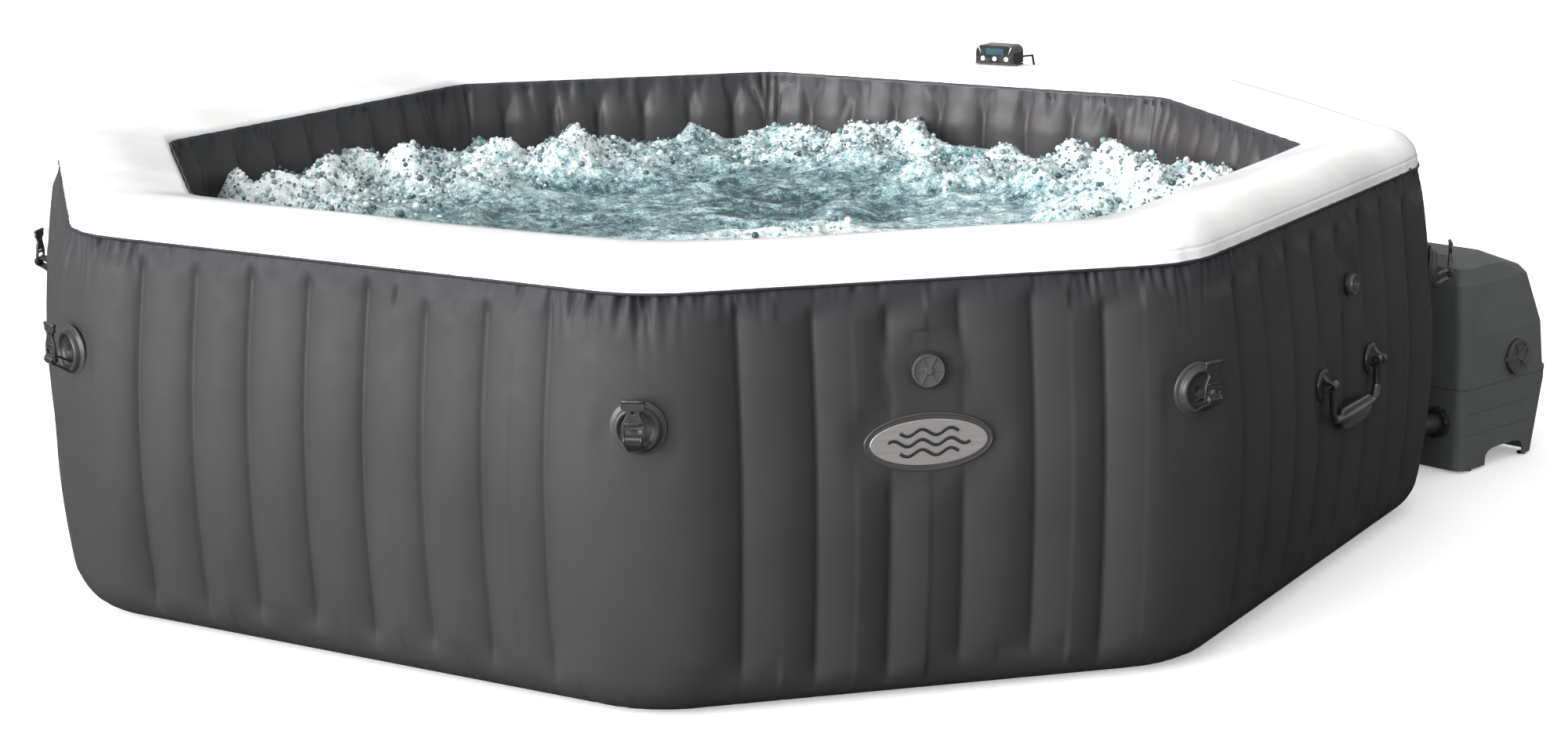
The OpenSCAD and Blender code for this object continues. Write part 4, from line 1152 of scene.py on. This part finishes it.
def carry_handle(name, k, joint_name, node_and_body):
    """Broad moulded grip hung from two anchor pads."""
    joint = JOINTS[joint_name]
    at_hinge = local_frame(joint["pos_m"], joint["axis"])
    out = at_hinge.col[1]
    if out[0] * math.cos(face_angle(k)) + out[1] * math.sin(face_angle(k)) < 0:
        at_hinge = local_frame(joint["pos_m"], [-v for v in joint["axis"]])
    half = 0.103
    drop = 0.060
    bend = 0.024
    right = [(half, 0.0, -0.001), (half, 0.001, -drop + bend)]
    turn = np.linspace(0, math.pi / 2, 7)[1:]
    corner = [(half - bend * (1 - math.cos(a)), 0.001, -drop + bend - bend * math.sin(a)) for a in turn]
    path = right + corner + [(0.0, 0.004, -drop - 0.001)]
    path += [(-x, y, z) for x, y, z in reversed(path[:-1])]
    arms = tube(name + "_arms", smooth_path(path, 4), 0.0072, 16, 0.72)
    ends = [bar(side * (half - 0.0072), side * (half + 0.0072), 0, 0, 0.0078, 20) for side in (-1, 1)]
    outline = grip_outline(0.070, -drop - 0.022, -drop + 0.014)
    grip = plate_mesh(name + "_grip", [outline], -0.0045, 0.0065, 0.0042)
    mesh = join_meshes(name, [arms, grip] + ends, 50)
    add_piece(name, mesh, "gloss_black", at_hinge, node_and_body, node_and_body)
    return at_hinge, half


def grip_outline(half, low, high):
    """Long plate with round ends, its lower edge slightly bowed."""
    middle = (low + high) / 2
    rise = (high - low) / 2
    points = []
    for a in np.linspace(-math.pi / 2, math.pi / 2, 13):
        points.append((half - rise + rise * math.cos(a), middle + rise * math.sin(a)))
    for a in np.linspace(math.pi / 2, 1.5 * math.pi, 13):
        points.append((rise - half + rise * math.cos(a), middle + rise * math.sin(a)))
    for x in np.linspace(rise - half, half - rise, 9)[1:-1]:
        points.append((x, low - 0.0035 * (1 - (x / half) ** 2)))
    return points


def handle_anchor_pads(name, at_hinge, half):
    """Two bonded pads with folded strap ends that carry the handle's pins."""
    anchors = cad_points("handle_anchors")
    out = np.array(at_hinge.col[1][:3])
    origin = np.array(at_hinge.translation)
    near = np.linalg.norm(anchors - origin, axis=1) < 0.2
    inmost = float(((anchors[near] - origin) @ out).min())
    meshes = []
    profile = [(0.0004, 0.0035), (0.012, 0.0036), (0.018, 0.0040), (0.0205, 0.0044), (0.0225, 0.0036),
               (0.0240, 0.0030), (0.0255, 0.0024), (0.0262, 0.0004)]
    for side in (-1, 1):
        pad = wall_disc_mesh("pad", profile, 5.0, 64)
        pad.transform(Matrix.Translation((side * (half + 0.007), inmost, 0)))
        meshes.append(pad)
        strap = smooth_path([
            (inmost + 0.003, 0.017), (inmost + 0.006, 0.013), (-0.003, 0.0088), (0.0085, 0.004),
            (0.0088, -0.004), (-0.003, -0.0088), (inmost + 0.006, -0.013), (inmost + 0.003, -0.017),
        ], 6)
        band = band_mesh("fold", strap, 0.011, 0.0018, 0.0004, 0.0035)
        band.transform(Matrix.Translation((side * (half + 0.0135), 0, 0)))
        meshes.append(band)
        meshes.append(bar(side * (half - 0.0075), side * (half + 0.019), 0, 0, 0.0029, 12))
    return add_piece(name, join_meshes(name, meshes, 40), "black_plastic", at_hinge)


# ---- badge ----

def badge():
    """Oval badge: satin metal plate with a plain wave motif, in a raised dark border."""
    low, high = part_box("badge_plate")
    length, rise = high.x - low.x, high.z - low.z
    place = node_frame("badge_plate", 0) @ Matrix.Rotation(badge_tilt(), 4, "X")
    plate = plate_mesh("badge_oval", [ellipse_outline(length, rise)], 0.0004, 0.0026, 0.0008)
    add_piece("badge_oval", plate, "badge_metal", place, node="badge_plate")
    border_low, border_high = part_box("badge_border")
    width, height = border_high.x - border_low.x, border_high.z - border_low.z
    outlines = [ellipse_outline(width, height), ellipse_outline(length + 0.001, rise + 0.001)]
    surround = plate_mesh("badge_surround", outlines, -0.0006, 0.0014, 0.0006)
    add_piece("badge_surround", surround, "badge_clear", place, node="badge_border")
    edge = [(x, 0.0012, z) for x, z in ellipse_outline(width - 0.004, height - 0.004, 96)]
    add_piece("badge_bead", closed_tube("badge_bead", edge, 0.0011, 10), "patch_vinyl", place)
    waves = []
    wave_length, wave_rise = 0.042, 0.0045
    for row, half in ((0.0145, 0.043), (0.0, 0.060), (-0.0145, 0.043)):
        line = [
            (x, 0.0027, row + wave_rise * math.sin(x * 2 * math.pi / wave_length))
            for x in np.linspace(-half, half, 61)
        ]
        waves.append(tube("wave", line, 0.0027, 10, 0.45))
    add_piece("badge_waves", join_meshes("badge_waves", waves), "black_plastic", place)


def badge_tilt():
    """Lean of the badge plate in the CAD, about the wall's own X axis."""
    points = cad_points("badge_plate")
    top = points[points[:, 2] > points[:, 2].max() - 0.002]
    bottom = points[points[:, 2] < points[:, 2].min() + 0.002]
    lean = -top[:, 1].mean() + bottom[:, 1].mean()
    return math.atan2(lean, points[:, 2].max() - points[:, 2].min()) * -1


def closed_tube(name, path, radius, sides):
    path = np.asarray(path, float)
    ahead = np.roll(path, -1, 0) - np.roll(path, 1, 0)
    ahead /= np.linalg.norm(ahead, axis=1)[:, None]
    side = np.cross(ahead, (0, 1, 0))
    across = np.cross(ahead, side)
    turn = np.linspace(0, 2 * math.pi, sides, endpoint=False)
    grid = (
        path[:, None] + radius * np.cos(turn)[None, :, None] * side[:, None]
        + radius * np.sin(turn)[None, :, None] * across[:, None]
    )
    quads = grid_quads(len(path), sides, True, True)
    return turn_outward(face_mesh(name, grid.reshape(-1, 3), quads))


def weld_ring(name, node, k, radius):
    """Raised ring where a valve's flange is welded to the wall."""
    profile = [(radius - 0.004, 0.0006)]
    for a in np.linspace(180, 0, 9):
        a = math.radians(a)
        profile.append((radius + 0.0026 * math.cos(a), 0.0002 + 0.0018 * math.sin(a)))
    profile.append((radius + 0.004, -0.0004))
    add_piece(name, wall_disc_mesh(name, profile, 6.0), "wall_vinyl", node_frame(node, k))


# ---- CAD nodes that keep their shape ----

EDGE_ROUNDING = {
    "air_valve_body": 0.0006, "air_valve_cap": 0.0005, "vent_valve_body": 0.0005, "vent_valve_cap": 0.0004,
    "drain_valve_body": 0.0006, "drain_valve_cap": 0.0005, "wall_fittings": 0.0006, "fitting_nuts": 0.0006,
    "strainer_grids": 0.0005, "hose_collars": 0.0008, "unit_tray": 0.0022, "unit_cover": 0.0022,
    "unit_feet": 0.0008, "cover_screws": 0.0003, "filter_cap": 0.0008, "pump_housing": 0.0015,
    "blower_housing": 0.0015, "heater_tube": 0.001, "pod_bracket": 0.0006, "pod_shell": 0.0022,
    "pod_display": 0.0004, "pod_button_1": 0.0006, "pod_button_2": 0.0006, "pod_button_3": 0.0006,
    "power_plug": 0.0015,
}


def finish_cad_nodes():
    """Gives every CAD node the finish of its slot in the record, and rounds its moulded edges."""
    for part in frame["record"]["subparts"]:
        node, slot = part["node"], part["material_slot"]
        piece = frame["nodes"][node]
        piece.data.materials.clear()
        piece.data.materials.append(MATERIALS[slot])
        for polygon in piece.data.polygons:
            polygon.material_index = 0
        if node in EDGE_ROUNDING:
            rounded(piece, EDGE_ROUNDING[node])


# ---- stage ----

KEY_FOCUS = 6.0
KEY_STRENGTH = 17.0
FILL_RANGE = (0.42, 0.95)
CEILING_STRENGTH = 0.4


def studio():
    """Pale floor, bright even surroundings and a large soft light from the front left."""
    corners = [(-14, -9, 0), (14, -9, 0), (14, 26, 0), (-14, 26, 0)]
    mesh = face_mesh("studio_floor", corners, np.array([[0, 1, 2, 3]]))
    floor = new_object("studio_floor", mesh)
    floor.location.z = -0.0006
    mesh.materials.append(pale_floor())
    surroundings()


def surroundings():
    """A broad bright field low on the left, a bright ceiling, and dim sides elsewhere."""
    world = bpy.data.worlds.new("studio")
    world.use_nodes = True
    tree = world.node_tree
    facing = node_of(tree, "TexCoord").outputs["Generated"]

    def towards(direction):
        return node_of(tree, "VectorMath", {0: facing, 1: Vector(direction).normalized()},
                       operation="DOT_PRODUCT").outputs["Value"]

    lobe = range_in(tree, towards((-0.93, -0.37, -0.06)), 0.0, 1.0, 0.0, 1.0)
    key = math_in(tree, "MULTIPLY", math_in(tree, "POWER", lobe, KEY_FOCUS), KEY_STRENGTH)
    fill = range_in(tree, towards((-0.5, -0.8, 0.1)), -1.0, 1.0, *FILL_RANGE)
    height = node_of(tree, "SeparateXYZ", {"Vector": facing}).outputs["Z"]
    ceiling = range_in(tree, height, 0.7, 0.92, 0.0, CEILING_STRENGTH)
    total = math_in(tree, "ADD", math_in(tree, "ADD", key, fill), ceiling)
    background = tree.nodes["Background"]
    feed(tree, background.inputs["Strength"], total)
    feed(tree, background.inputs["Color"], (1, 1, 1))
    bpy.context.scene.world = world


def camera():
    """Camera at the eye of someone standing in front of the badge face, left of its middle."""
    place = Vector((-1.2151, -5.0249, 1.4124))
    turn, pitch, roll = 0.2552, -0.2258, 0.0078
    right = Vector((math.cos(turn), -math.sin(turn), 0))
    ahead = Vector((math.cos(pitch) * math.sin(turn), math.cos(pitch) * math.cos(turn), math.sin(pitch)))
    up = right.cross(ahead)
    rolled_right = right * math.cos(roll) - up * math.sin(roll)
    rolled_up = right * math.sin(roll) + up * math.cos(roll)
    data = bpy.data.cameras.new("camera")
    data.lens = 68.67
    data.sensor_width = 36.0
    eye = bpy.data.objects.new("camera", data)
    bpy.context.scene.collection.objects.link(eye)
    turned = Matrix((rolled_right, rolled_up, -ahead)).transposed().to_4x4()
    eye.matrix_world = Matrix.Translation(place) @ turned
    bpy.context.scene.camera = eye


finish_cad_nodes()
wall_ring = outer_wall_skin()
top_rim_skin()
rim_weld_bead(wall_ring)
inner_wall_skin()
water_body()
foam_bubbles()
first_patch = [latch(k) for k in range(8)][0]
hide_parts("latch_patches")
for name, k, joint, body in (
    ("front_carry_handle", 1, "handle_front_swing", "handle_front"),
    ("rear_carry_handle", 5, "handle_rear_swing", "handle_rear"),
):
    hinge, half_span = carry_handle(name, k, joint, body)
    pads = handle_anchor_pads(name + "_pads", hinge, half_span)
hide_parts("handle_anchors")
badge()
weld_ring("air_valve_weld", "air_valve_body", 0, 0.030)
studio()
camera()
bpy.context.scene.view_settings.view_transform = "Standard"
